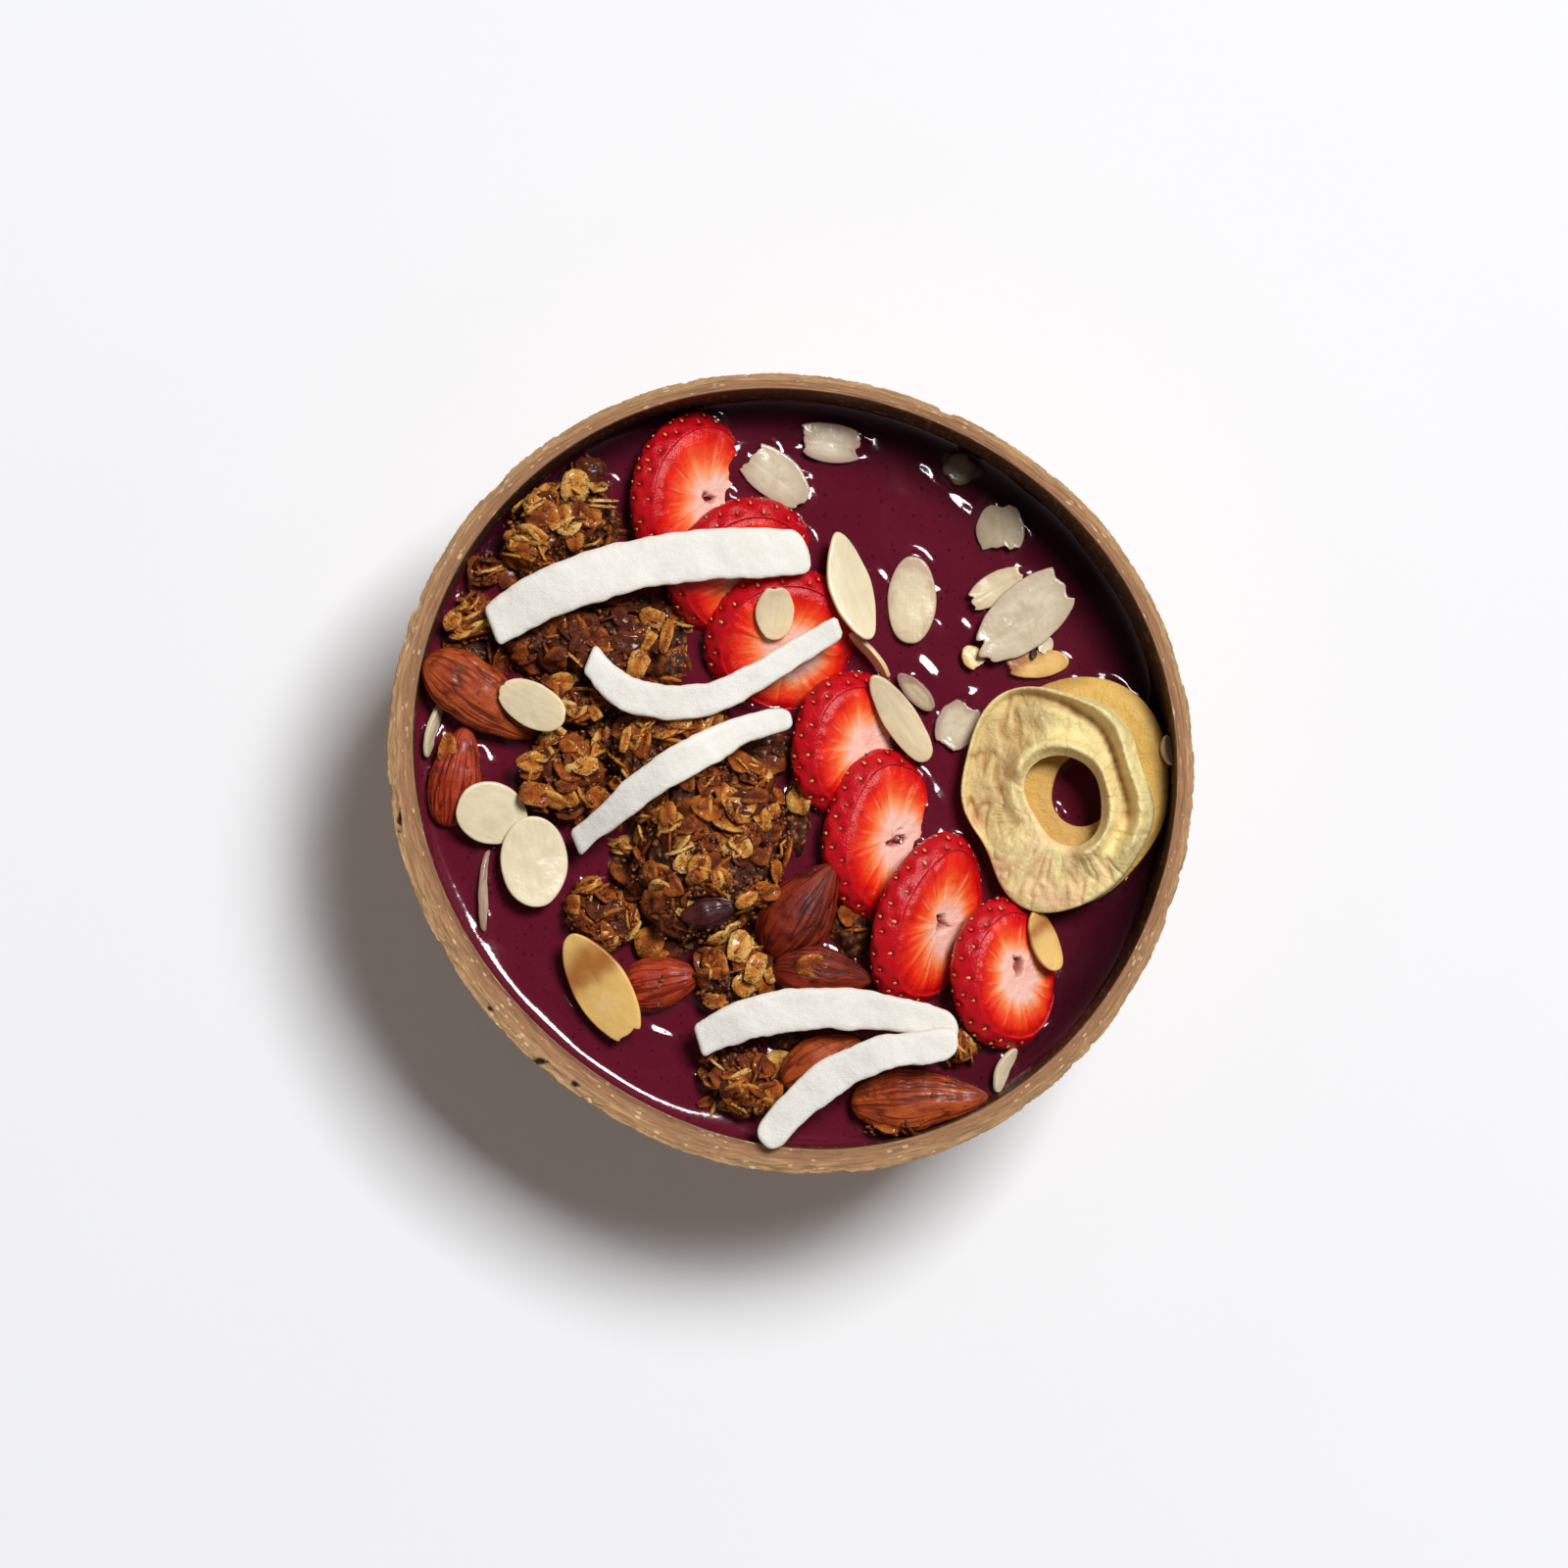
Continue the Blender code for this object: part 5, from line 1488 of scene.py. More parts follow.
def strip_surface(number, ragged, fuzzy):
    """One strip: a flat rounded band carried along its line, at the height of its node.

    Its section is a superellipse; its half width follows the share along the line with slow
    noise, and both ends close as quarter circles, cut askew. Its edges wander by ragged, and
    fuzzy is how much quick noise that has.
    """
    line, widths, skews, tilt = STRIP_LINES[number - 1]
    share = np.linspace(0, 1, STRIP_ROWS)
    plan = spline(line, share)
    along = unit(np.gradient(plan, axis=0))
    side = np.stack((-along[:, 1], along[:, 0]), axis=1)
    height = cast_down(plan + (0.5 - share)[:, None] * 0.6 * along, STRIPS[number - 1])
    known = np.isfinite(height)
    height = np.interp(share, share[known], height[known])
    window = np.hanning(STRIP_AVERAGE + 2)
    window = window[1:-1] / window.sum()
    height = np.convolve(np.pad(height, STRIP_AVERAGE // 2, mode="edge"), window, mode="valid")
    run = distance_along(plan)
    ahead = stacked(run, 0.0, 7.0 * number)
    width = spline([(width, 0.0) for width in widths], share)[:, 0]
    half = width / 2 * (1 + 0.05 * bumps(ahead, 6.0, 99, 2))
    round_off = np.where(share < 0.5, *STRIP_ENDS[number - 1])
    from_end = np.minimum(run, run[-1] - run)
    narrowing = 1 - np.sqrt(1 - (1 - np.clip(from_end / round_off, 0, 1)) ** 2)
    closing = np.sqrt(1 - (1 - np.clip(from_end / 0.9, 0, 1)) ** 2)[:, None]
    narrowing = (1 - narrowing * np.clip(round_off / 3, 0.2, 0.85))[:, None]
    angle = turns(STRIP_TURNS)[None, :]
    across = np.sign(np.cos(angle)) * np.abs(np.cos(angle)) ** 0.42
    up = np.sign(np.sin(angle)) * np.abs(np.sin(angle)) ** 0.5
    trail = stacked(run[:, None], half[:, None] * across, up)
    quick = 0.35 * fuzzy * bumps(trail, 1.1, 105 + number)
    wander = ragged * (bumps(trail, 3.4, 100 + number, 2) + quick)
    width = across * (half[:, None] - 0.3 + wander * np.abs(across)) * narrowing
    lift = up * STRIP_THICKNESS / 2 * (0.25 + 0.75 * closing) * 0.92 - STRIP_THICKNESS / 2
    relief = 0.16 * bumps(trail, 4.5, 110 + number, 2)
    lift = lift + relief + tilt * width
    skew = skews[0] * (1 - smooth(0, SKEW_RUN, run))
    skew = (skew + skews[1] * smooth(run[-1] - SKEW_RUN, run[-1], run))[:, None] * width
    middle = plan[:, None] + side[:, None] * width[..., None] + along[:, None] * skew[..., None]
    points = np.concatenate((middle, (height[:, None] + lift)[..., None]), axis=-1)
    # The second value marks the sides and the underside, where shade is painted on.
    return points, np.broadcast_to(np.abs(across) ** 2 + (up < 0), width.shape)


def build_strips(settings):
    """The five strips, the first with smoother edges than the others."""
    material = coconut_material(settings)
    for number, node in enumerate(STRIPS, 1):
        points, side = strip_surface(number, settings.ragged / MM, FUZZ[number - 1])
        make_piece(
            f"coconut_curl_{number}", closed_grid(points), material, "coconut", (node,),
            side=closed_values(side),
        )


# ---- Granola ----


class GranolaSettings(bpy.types.PropertyGroup):
    dark: colour_property("Caramel", "Colour of the darkest oats and of the cores", 74, 28, 9)
    oat: colour_property("Oats", "Colour of most oats", 180, 94, 26)
    pale: colour_property("Pale oats", "Colour of the palest oats", 238, 190, 108)
    oat_length: length_property("Oat length", "Length of one oat flake", 6.6)
    oat_density: FloatProperty(
        name="Oat density", description="Oat flakes on a square centimetre of cluster", default=10.0,
    )
    crumb_density: FloatProperty(
        name="Crumb density", description="Crumbs on a square centimetre of cluster", default=52.0,
    )


SQUARE_CM = 100
CORE_INSET = 2.3
CORE_ROWS = 44
CORE_TURNS = 72
OAT_TURNS = 12
# The rings of an oat: their share of its outline, and 1 on top or -1 underneath.
OAT_RINGS = ((0.5, 1.0), (0.94, 1.0), (0.94, -1.0))
OAT_THICKNESS = 0.6
# The most that an oat and a crumb stand out of their cluster.
MOST_OVERHANG = 0.5
CRUMB_OVERHANG = 0.1
# How high above the surface under it a listed oat lies.
LAID_LIFT = 0.25
VALLEY_SIZE = 4.4
VALLEY_DEPTH = 2.2
BED_TURNS = 44
BED_ROWS = 14
# How far a bed's rim and its underside lie below the puree.
BED_DIP = 1.2
BED_UNDER = 2.0
# How much darker a bed's oats are than most.
BED_TONE = -0.18
# Low beds of loose granola between the clusters: place, half sizes, direction (degrees), height.
BEDS = (
    ((-57.6, 26.5), (3.6, 5.5), 0, 2.0), ((-54.5, 21.8), (5.6, 2.4), 0, 2.0),
    ((-53.6, 35.4), (3.0, 4.4), 60, 2.0), ((-46.6, 38.6), (5.6, 4.2), 40, 2.4),
    ((-37.0, 52.4), (6.5, 2.8), 22, 2.6), ((-31.0, 44.0), (2.4, 4.4), 0, 2.0),
    ((-21.6, 22.6), (4.8, 8.6), -8, 2.4), ((-45.6, 20.8), (6.6, 4.2), -20, 2.6),
    ((-36.2, 16.6), (6.2, 6.0), 0, 2.6), ((-28.6, 6.4), (9.6, 5.2), 0, 3.0),
    ((-16.5, 8.2), (7.0, 3.4), 18, 3.0), ((-31.0, -3.6), (9.0, 4.4), 36, 2.6),
    ((-24.4, -9.0), (4.8, 5.6), 0, 2.6), ((-4.2, 3.8), (7.0, 3.8), 12, 3.0),
    ((1.2, -7.6), (2.8, 8.0), 0, 2.8), ((-27.6, -17.4), (4.8, 8.2), 10, 2.0),
    ((-22.6, -28.4), (6.8, 4.6), -10, 2.2), ((10.6, -27.6), (4.4, 5.6), 20, 2.6),
    ((-9.0, -57.0), (7.0, 2.8), 0, 1.8), ((-1.0, -35.6), (3.4, 3.8), 0, 2.4),
    ((-12.6, -44.6), (3.0, 4.4), 0, 2.0), ((-1.0, -46.0), (4.0, 3.0), 0, 1.8),
    ((-33.4, 27.4), (15.0, 3.4), 16, 3.0),
)
# Single oats, listed one by one: place, length, width share, direction (degrees), tone.
LOOSE_OATS = (
    ((-59.8, 4.8), 5.8, 0.62, 80, 0.62), ((3.8, -33.0), 5.8, 0.8, 10, 0.6),
    ((-7.4, -21.6), 4.8, 0.55, 30, 0.8), ((-3.2, -20.4), 4.2, 0.7, 20, 0.5),
    ((-12.0, -57.5), 5.4, 0.3, 4, 1.1), ((-10.8, -58.5), 4.6, 0.26, -6, 1.0),
    ((-14.6, -57.2), 4.0, 0.5, 20, 0.4), ((-32.6, 47.9), 6.4, 0.09, 1, 1.1),
    ((-32.8, 46.9), 6.4, 0.08, -5, 1.0), ((-37.4, 50.2), 7.4, 0.74, 76, 0.95),
    ((-26.4, 19.4), 6.0, 0.7, 64, 0.85), ((-28.6, 6.2), 5.6, 0.35, 78, 0.85),
    ((-8.8, -29.8), 6.6, 0.7, 70, 1.0), ((-6.0, -33.5), 7.0, 0.55, 64, 0.9),
    ((-2.0, -51.0), 6.8, 0.85, 80, 1.1), ((-44.6, 2.4), 6.6, 0.6, -8, 0.75),
    ((-35.4, 1.6), 6.0, 0.6, 8, 0.9), ((-44.0, -3.4), 7.0, 0.7, -12, 0.6),
    ((-39.6, 16.4), 5.4, 0.7, 10, 0.75), ((-33.8, 10.6), 4.6, 0.5, -60, 0.8),
    ((17.0, -61.4), 5.0, 0.5, -12, 0.6), ((-52.6, 29.2), 4.6, 0.6, 30, 0.5),
    ((-58.8, 27.0), 4.4, 0.7, 60, 0.8), ((21.6, -60.6), 5.0, 0.4, 8, 0.5),
    ((-23.6, 27.4), 6.4, 0.6, -20, 0.8), ((-21.4, 24.4), 7.0, 0.34, 80, 0.7),
    ((-19.6, 20.8), 6.0, 0.5, 66, 0.6), ((-24.4, 23.6), 6.4, 0.3, 58, 0.8),
    ((-20.4, 28.4), 5.2, 0.6, 10, 0.55), ((-22.6, 16.8), 5.6, 0.6, -30, 0.5),
)
# How much lighter or darker than most the oats of a cluster are, by its number; for 4 and 36, in the shadow
# of the first coconut strip, the darkening is painted shade.
TONE_AND_SHADE_SHIFTS = {1: -0.05, 2: -0.25, 4: -0.5, 5: -0.08, 10: -0.1, 20: 0.0, 36: -0.4}
# Almonds with crumbs baked on, and how many crumbs on a square centimetre.
CRUMBED = {"almond_2": 26, "almond_3": 7, "almond_4": 34, "almond_5": 22, "almond_6": 5, "almond_7": 7}


def valley(points, seed):
    """0 on the rounded parts of a cluster and 1 down in the creases between them."""
    return smooth(0.0, 0.5, -bumps(points, VALLEY_SIZE, seed, 2))


class Lump:
    """A cluster read as the outermost radius in each direction from its middle."""

    def __init__(self, node):
        self.triangles = corners(node)
        points = self.triangles.reshape(-1, 3)
        self.centre = (points.min(0) + points.max(0)) / 2
        polar = (np.arange(CORE_ROWS) + 0.5) / CORE_ROWS * pi
        azimuth = np.arange(CORE_TURNS) / CORE_TURNS * 2 * pi
        self.way = self.direction(polar[:, None], azimuth[None, :])
        self.radius = self.outermost(self.way.reshape(-1, 3)).reshape(CORE_ROWS, CORE_TURNS)

    def direction(self, polar, azimuth):
        flat = np.sin(polar)
        return stacked(flat * np.cos(azimuth), flat * np.sin(azimuth), np.cos(polar))

    def outermost(self, way):
        """How far out each ray from the middle last crosses a triangle.

        Along a ray the point is centre + far * way, and also a + u * first + v * second.
        """
        a, b, c = np.moveaxis(self.triangles - self.centre, 1, 0)
        first, second = b - a, c - a
        beside = np.cross(way[:, None], second[None])
        whole = (beside * first).sum(-1)
        whole = np.where(np.abs(whole) < 1e-9, 1e-9, whole)
        u = -(beside * a).sum(-1) / whole
        turned = np.cross(-a, first)
        v = (way[:, None] * turned[None]).sum(-1) / whole
        far = (turned * second).sum(-1)[None] / whole
        hit = (u >= -1e-6) & (v >= -1e-6) & (u + v <= 1 + 1e-6) & (far > 0)
        reach = np.where(hit, far, 0).max(axis=1)
        return np.where(reach > 0, reach, np.median(reach))

    def core(self, seed):
        """The dark uneven body under the oats, drawn in from the cluster's outline."""
        points = self.centre + self.way * self.radius[..., None]
        creases = CORE_INSET + VALLEY_DEPTH * 0.8 * valley(points, seed)
        inset = creases - 0.8 * bumps(points, 1.9, seed + 40, 3)
        radius = np.maximum(self.radius - inset, 0.35 * self.radius)
        return closed_grid(self.centre + self.way * radius[..., None])

    def overhang(self, points):
        """How far points stand out of the cluster, along the ray from its middle."""
        away = points - self.centre
        reach = np.linalg.norm(away, axis=-1)
        polar = np.arccos(np.clip(away[..., 2] / np.maximum(reach, 1e-6), -1, 1))
        azimuth = np.arctan2(away[..., 1], away[..., 0]) % (2 * pi)
        row = np.clip((polar / pi * CORE_ROWS).astype(int), 0, CORE_ROWS - 1)
        column = np.rint(azimuth / (2 * pi) * CORE_TURNS).astype(int) % CORE_TURNS
        return reach - self.radius[row, column]

    def scatter(self, density, lowest, random):
        """Points and normals spread over the cluster above a height, as many as its area asks for."""
        size, normal = areas_and_normals(self.triangles)
        middle = self.triangles[:, :, 2].mean(1)
        size = np.where((middle > lowest) & (normal[:, 2] > -0.35), size, 0)
        count = int(size.sum() * density / SQUARE_CM)
        pick = random.choice(len(size), count, p=size / size.sum())
        u, v = np.sqrt(random.random(count)), random.random(count)
        shares = np.stack((1 - u, u * (1 - v), u * v), axis=1)
        return (self.triangles[pick] * shares[..., None]).sum(1), normal[pick]


class Bed:
    """A low mound of loose granola, an ellipse in plan that dips under the puree at its edge."""

    def __init__(self, place, half, direction, height, level):
        self.centre = np.array((*place, level - 9.0))
        self.half, self.height, self.level = np.array(half), height, level
        turn = radians(direction)
        self.axes = np.array(((cos(turn), sin(turn)), (-sin(turn), cos(turn))))

    def surface(self, share, azimuth):
        """Points at a share of the ellipse: the height falls as a power of 1 - share squared."""
        flat = stacked(share * np.cos(azimuth), share * np.sin(azimuth))
        plan = self.centre[:2] + (flat * self.half) @ self.axes
        up = self.level - BED_DIP + (self.height + BED_DIP) * (1 - share**2) ** 0.7
        return np.concatenate((plan, np.broadcast_to(up, plan.shape[:-1])[..., None]), axis=-1)

    def core(self, seed):
        """The uneven body under the bed's oats."""
        azimuth = np.arange(BED_TURNS) / BED_TURNS * 2 * pi
        share = np.sqrt(np.linspace(0.01, 1, BED_ROWS))[:, None]
        top = self.surface(share, azimuth[None, :])
        top[..., 2] += (0.8 * bumps(top, 2.0, seed, 3) - 0.5) * (1 - share**4)
        under = self.surface(np.full((1, 1), 0.3), azimuth[None, :])
        under[..., 2] = self.level - BED_UNDER
        return closed_grid(np.concatenate((top, under)))

    def overhang(self, points):
        """How far points stand over the bed's height."""
        return points[..., 2] - (self.level + self.height + 0.6)

    def scatter(self, density, lowest, random):
        """As a cluster's; a bed has nothing below the lowest height, so that isn't looked at."""
        count = int(pi * self.half.prod() * density / SQUARE_CM)
        share, azimuth = np.sqrt(random.random(count)) * 0.95, random.uniform(0, 2 * pi, count)
        points = self.surface(share, azimuth)
        normal = points - self.centre
        return points, unit(normal)


def turned_frames(normal, tilt, spin, random):
    """Axes for flat things on a surface: the third is the normal tilted by an angle, then spun."""
    helper = random.normal(size=normal.shape)
    side = unit(np.cross(normal, helper))
    up = normal * np.cos(tilt)[:, None] + side * np.sin(tilt)[:, None]
    first = unit(np.cross(up, np.cross(side, normal) + 0.01))
    second = np.cross(up, first)
    along = first * np.cos(spin)[:, None] + second * np.sin(spin)[:, None]
    return np.stack((along, np.cross(up, along), up), axis=1)


def oat_shapes(length, narrow, random):
    """Rolled oats about their middles: an oval with a crease along it, halves bent up, uneven edge.

    The crease is a bell curve across, and the bend a second-degree surface, each oat its own.
    """
    count = len(length)
    azimuth = np.arange(OAT_TURNS) / OAT_TURNS * 2 * pi
    share, side = np.array(OAT_RINGS).T[..., None]

    def each(low, high):
        return random.uniform(low, high, (count, 1, 1))

    uneven = 1 + random.uniform(-0.14, 0.09, (count, 1, OAT_TURNS))
    half_length = length[:, None, None] / 2
    half_width = half_length * narrow[:, None, None]
    x = share * np.cos(azimuth) * uneven
    y = share * np.sin(azimuth) * uneven
    cut = each(0.45, 1.6)
    x = np.where(x > cut * share, cut * share, x)
    crease = np.exp(-((y / 0.24) ** 2)) * each(0.3, 1.0)
    bend = each(-0.1, 0.6) * y**2 + each(-0.45, 0.35) * x**2 + each(-0.3, 0.3) * x * y
    thick = OAT_THICKNESS / 2 * side * (1 - 0.25 * share)
    z = thick + (bend * 1.3 - crease * 0.65) * np.minimum(half_width / 2, 1)
    points = stacked(x * half_length, y * half_width, z)
    shape = closed_grid(points[0])
    poles = np.stack((points[:, 0].mean(1), points[:, -1].mean(1)), axis=1)
    every = np.concatenate((points.reshape(count, -1, 3), poles), axis=1)
    dark = np.exp(-((y / 0.28) ** 2)) - 0.4 * (share > 0.9) * (side > 0)
    dark = np.broadcast_to(dark, x.shape)
    dark = np.concatenate((dark.reshape(count, -1), np.ones((count, 2))), axis=1)
    return every, shape[1], shape[2], dark


def oat_material(settings):
    """Baked oats: each its own tone, darker in the crease, partly its own line and partly painted shade,
    with brown crust and glaze in places.
    """
    material, tree = new_material("baked_oat")
    tone = tree.attribute("tone")
    crease = tree.attribute("crease")
    place = tree.place()
    cloud = tree.mottle(place, 1.5, 1.8)
    fine = tree.noise(place, 2.6, 3.0, 0.65)
    share = tree.plus(tree.times(tone, 0.78), tree.times(cloud, 0.32))
    # The crease is darker: partly the oat's own line, partly painted shade in the fold.
    share = tree.math("SUBTRACT", share, tree.times(crease, 0.2))
    colour = tree.ramp(
        share, (0.12, settings.dark), (0.36, linear(130, 60, 18)), (0.6, settings.oat),
        (0.8, linear(214, 146, 62)), (1.0, settings.pale),
    )
    stuck = tree.between(tree.noise(place, 0.5, 3.0, 0.7), 0.48, 0.56)
    crust = tree.between(fine, 0.4, 0.58)
    colour = tree.mix(tree.times(tree.times(stuck, crust), 0.8), colour, linear(100, 38, 20))
    wet = tree.between(tree.noise(place, 0.4, 2.0), 0.4, 0.6)
    tree.finish(
        colour=colour, roughness=0.45, specular=0.18, coat=tree.between(wet, 0.0, 1.0, 0.05, 0.6),
        coat_roughness=0.1, coat_ior=1.4, normal=tree.bump(fine, 0.42),
    )
    return material


def crumb_material(name, low, high, size, glaze):
    """Sugared crumbs: dark glossy grains with a few pale ones."""
    material, tree = new_material(name)
    place = tree.place()
    tone = tree.noise(place, size, 2.0)
    colour = tree.ramp(tone, (0.36, low), (0.58, high), (0.72, linear(190, 118, 60)))
    tree.finish(
        colour=colour, roughness=0.4, specular=0.25, coat=glaze, coat_roughness=0.12,
        normal=tree.bump(tree.noise(place, 2.4, 3.0, 0.7), 0.3),
    )
    return material


def drawn_in(body, points, inward, most):
    """Each thing's points moved inward until none stands out of the body by more than a limit."""
    for _ in range(2):
        proud = body.overhang(points).max(axis=1) - most
        points = points + (np.maximum(proud, 0)[:, None] * inward)[:, None]
    return points


def strewn_oats(body, seed, settings, lowest, shift, random):
    """Oats laid over a body, deeper in its creases and toned darker there as painted shade: points, tones,
    creases and faces.
    """
    place, normal = body.scatter(settings.oat_density, lowest, random)
    count = len(place)
    inward = unit(body.centre - place)
    deep = valley(place, seed)
    length = settings.oat_length / MM * random.uniform(0.66, 1.12, count)
    local, quads, triangles, dark = oat_shapes(length, random.uniform(0.58, 0.86, count), random)
    tilt = random.uniform(0.05, 0.6, count) + (random.random(count) < 0.2) * 0.75
    axes = turned_frames(normal, tilt, random.uniform(0, 2 * pi, count), random)
    oats = (place + inward * (VALLEY_DEPTH * deep)[:, None])[:, None] + local @ axes
    tone = random.normal(0.57, 0.28, count)
    # Painted shade: oats down in the creases get a darker tone.
    tone = tone + 0.34 * (random.random(count) < 0.2) - 0.25 * deep + shift
    tone = np.repeat(np.clip(tone, 0, 1.15), local.shape[1])
    return drawn_in(body, oats, inward, MOST_OVERHANG), tone, dark.ravel(), quads, triangles


def strewn_crumbs(body, density, lowest, deepest, random):
    """Small rough grains spread over a body and somewhat into it."""
    place, normal = body.scatter(density, lowest, random)
    grain, quads, triangles = grain_of(1.0, 0.75, 0.65, 3, 5)
    count = len(place)
    inward = unit(body.centre - place)
    size = random.uniform(0.4, 1.3, (count, 1, 1)) ** 1.4
    tilt, spin = random.uniform(0, 1.2, count), random.uniform(0, 2 * pi, count)
    axes = turned_frames(normal, tilt, spin, random)
    rough = random.uniform(0.7, 1.3, (count, len(grain), 1))
    place = place - normal * random.uniform(0.2, deepest, count)[:, None]
    crumbs = place[:, None] + (grain * rough * size) @ axes
    return drawn_in(body, crumbs, inward, CRUMB_OVERHANG), quads, triangles


def laid_oats(random):
    """The listed oats, each on whatever lies highest under its middle: points, tones, creases."""
    plan = np.array([oat[0] for oat in LOOSE_OATS])
    length, narrow, direction, tone = np.array([oat[1:] for oat in LOOSE_OATS]).T
    below = (*LUMPS, *ALMONDS, "puree")
    top = np.max([np.nan_to_num(cast_down(plan, node), nan=0.0) for node in below], axis=0)
    top = np.maximum(top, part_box("puree")[1].z / MM)
    local, _, _, dark = oat_shapes(length, narrow, random)
    up = unit(np.array((0.0, 0.0, 1.0)) + random.uniform(-0.25, 0.25, (len(plan), 3)))
    turn = np.radians(direction)
    across = unit(np.cross(up, stacked(np.cos(turn), np.sin(turn), 0.0)))
    axes = np.stack((np.cross(across, up), across, up), axis=1)
    place = np.column_stack((plan, top + LAID_LIFT))
    return place[:, None] + local @ axes, np.repeat(tone, local.shape[1]), dark.ravel()


def build_granola(settings):
    """The cores and the low beds between them; all oats as one piece, all crumbs as another."""
    random = np.random.default_rng(23)
    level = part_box("puree")[1].z / MM
    # The cores' near-black colour is partly the sugary binder and partly painted shade in the gaps between
    # oats.
    core = crumb_material("granola_core", linear(40, 15, 7), linear(92, 42, 18), 0.8, 0.2)
    lumps = [Lump(node) for node in LUMPS]
    beds = [Bed(*bed, level) for bed in BEDS]
    for number, (node, lump) in enumerate(zip(LUMPS, lumps), 1):
        make_piece(f"granola_core_{number:02d}", lump.core(130 + number), core, "granola", (node,))
    mounds = [bed.core(160 + number) for number, bed in enumerate(beds)]
    bed_points = np.stack([mound[0] for mound in mounds])
    make_piece("granola_bed", repeated(bed_points, *mounds[0][1:]), core, "granola")

    flakes, tones, creases = ([part] for part in laid_oats(random))
    crumbs = []
    for number, body in enumerate((*lumps, *beds), 1):
        shift = TONE_AND_SHADE_SHIFTS.get(number, 0.0 if number <= len(LUMPS) else BED_TONE)
        oats = strewn_oats(body, 130 + number, settings, level - 1.0, shift, random)
        for parts, part in zip((flakes, tones, creases), oats):
            parts.append(part)
        bits = strewn_crumbs(body, settings.crumb_density, level - 0.5, 2.2, random)
        crumbs.append(bits[0])
    for node, density in CRUMBED.items():
        crumbs.append(strewn_crumbs(Lump(node), density, level, 0.7, random)[0])
    make_piece(
        "oat_flakes", repeated(np.concatenate(flakes), *oats[3:]), oat_material(settings), "granola",
        tone=np.concatenate(tones), crease=np.concatenate(creases),
    )
    crumb = crumb_material("granola_crumb", linear(62, 23, 11), linear(138, 70, 32), 1.1, 0.5)
    make_piece("granola_crumbs", repeated(np.concatenate(crumbs), *bits[1:]), crumb, "granola")


# ---- Dried apple rings ----


class AppleSettings(bpy.types.PropertyGroup):
    cream: colour_property("Cream", "Colour of the ridges", 252, 232, 164)
    # The hollows' colour is partly the apple's own tan and partly painted shade.
    tan: colour_property("Tan", "Colour of the hollows", 206, 156, 98)
    olive: colour_property("Olive", "Colour of the smooth ring below", 234, 190, 96)
    wrinkle: length_property("Wrinkles", "Depth of the wrinkles", 0.72)


APPLE_TURNS = 420
APPLE_SECTION = 120
# Middle of each ring's hole in plan, the hole's radius and the outer radius at even turns.
TOP_RING = (
    (47.7, -4.9),
    (6.6, 7.3, 8.3, 8.2, 6.1, 5.4, 7.2, 7.6),
    (15.4, 15.4, 18.0, 19.7, 21.7, 19.2, 17.3, 15.8, 18.6, 19.0, 16.7, 16.0),
)
LOW_RING = (
    (50.4, -3.2),
    (6.0, 6.6, 6.6, 5.0, 4.4, 5.0, 5.7, 6.0),
    (15.9, 17.6, 20.2, 20.4, 19.4, 17.6, 16.4, 17.6, 19.4, 19.6, 17.0, 15.8),
)
RING_THICKNESS = 2.6
# How far each ring's middle surface lies below its node's plane.
TOP_RING_SINK = 1.2
LOW_RING_SINK = 0.7
# How many points each way are read from a ring's node to find its plane.
PLANE_SAMPLES = 24


def ridge(value, centre, width):
    """A bell curve: 1 at the centre and about a third at the width."""
    return np.exp(-(((value - centre) / width) ** 2))


def plane_heights(node, x, y):
    """Heights, at x and y, of the plane that lies best through the top of a node."""
    low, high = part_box(node)
    rows = np.linspace(low.x, high.x, PLANE_SAMPLES) / MM
    columns = np.linspace(low.y, high.y, PLANE_SAMPLES) / MM
    plan = stacked(*np.meshgrid(rows, columns)).reshape(-1, 2)
    height = cast_down(plan, node)
    known = np.isfinite(height)
    terms = np.column_stack((np.ones(known.sum()), plan[known]))
    plane = np.linalg.lstsq(terms, height[known], rcond=None)[0]
    return plane[0] + plane[1] * x + plane[2] * y


def ring_section(ring):
    """The grid of a ring: azimuth, share across (0 hole, 1 outside), up (1 top, -1 under), x and y."""
    centre, hole, outside = ring
    azimuth = turns(APPLE_TURNS)[:, None]
    turn = turns(APPLE_SECTION)[None, :]
    share = 0.5 - 0.5 * np.sign(np.cos(turn)) * np.abs(np.cos(turn)) ** 0.8
    up = np.sign(np.sin(turn)) * np.abs(np.sin(turn)) ** 0.5
    inner = round_about(np.array(hole), azimuth[:, 0])[:, None]
    outer = round_about(np.array(outside), azimuth[:, 0])[:, None]
    radius = inner + (outer - inner) * share
    x = centre[0] + radius * np.cos(azimuth)
    y = centre[1] + radius * np.sin(azimuth)
    return azimuth, np.broadcast_to(share, x.shape), np.broadcast_to(up, x.shape), x, y


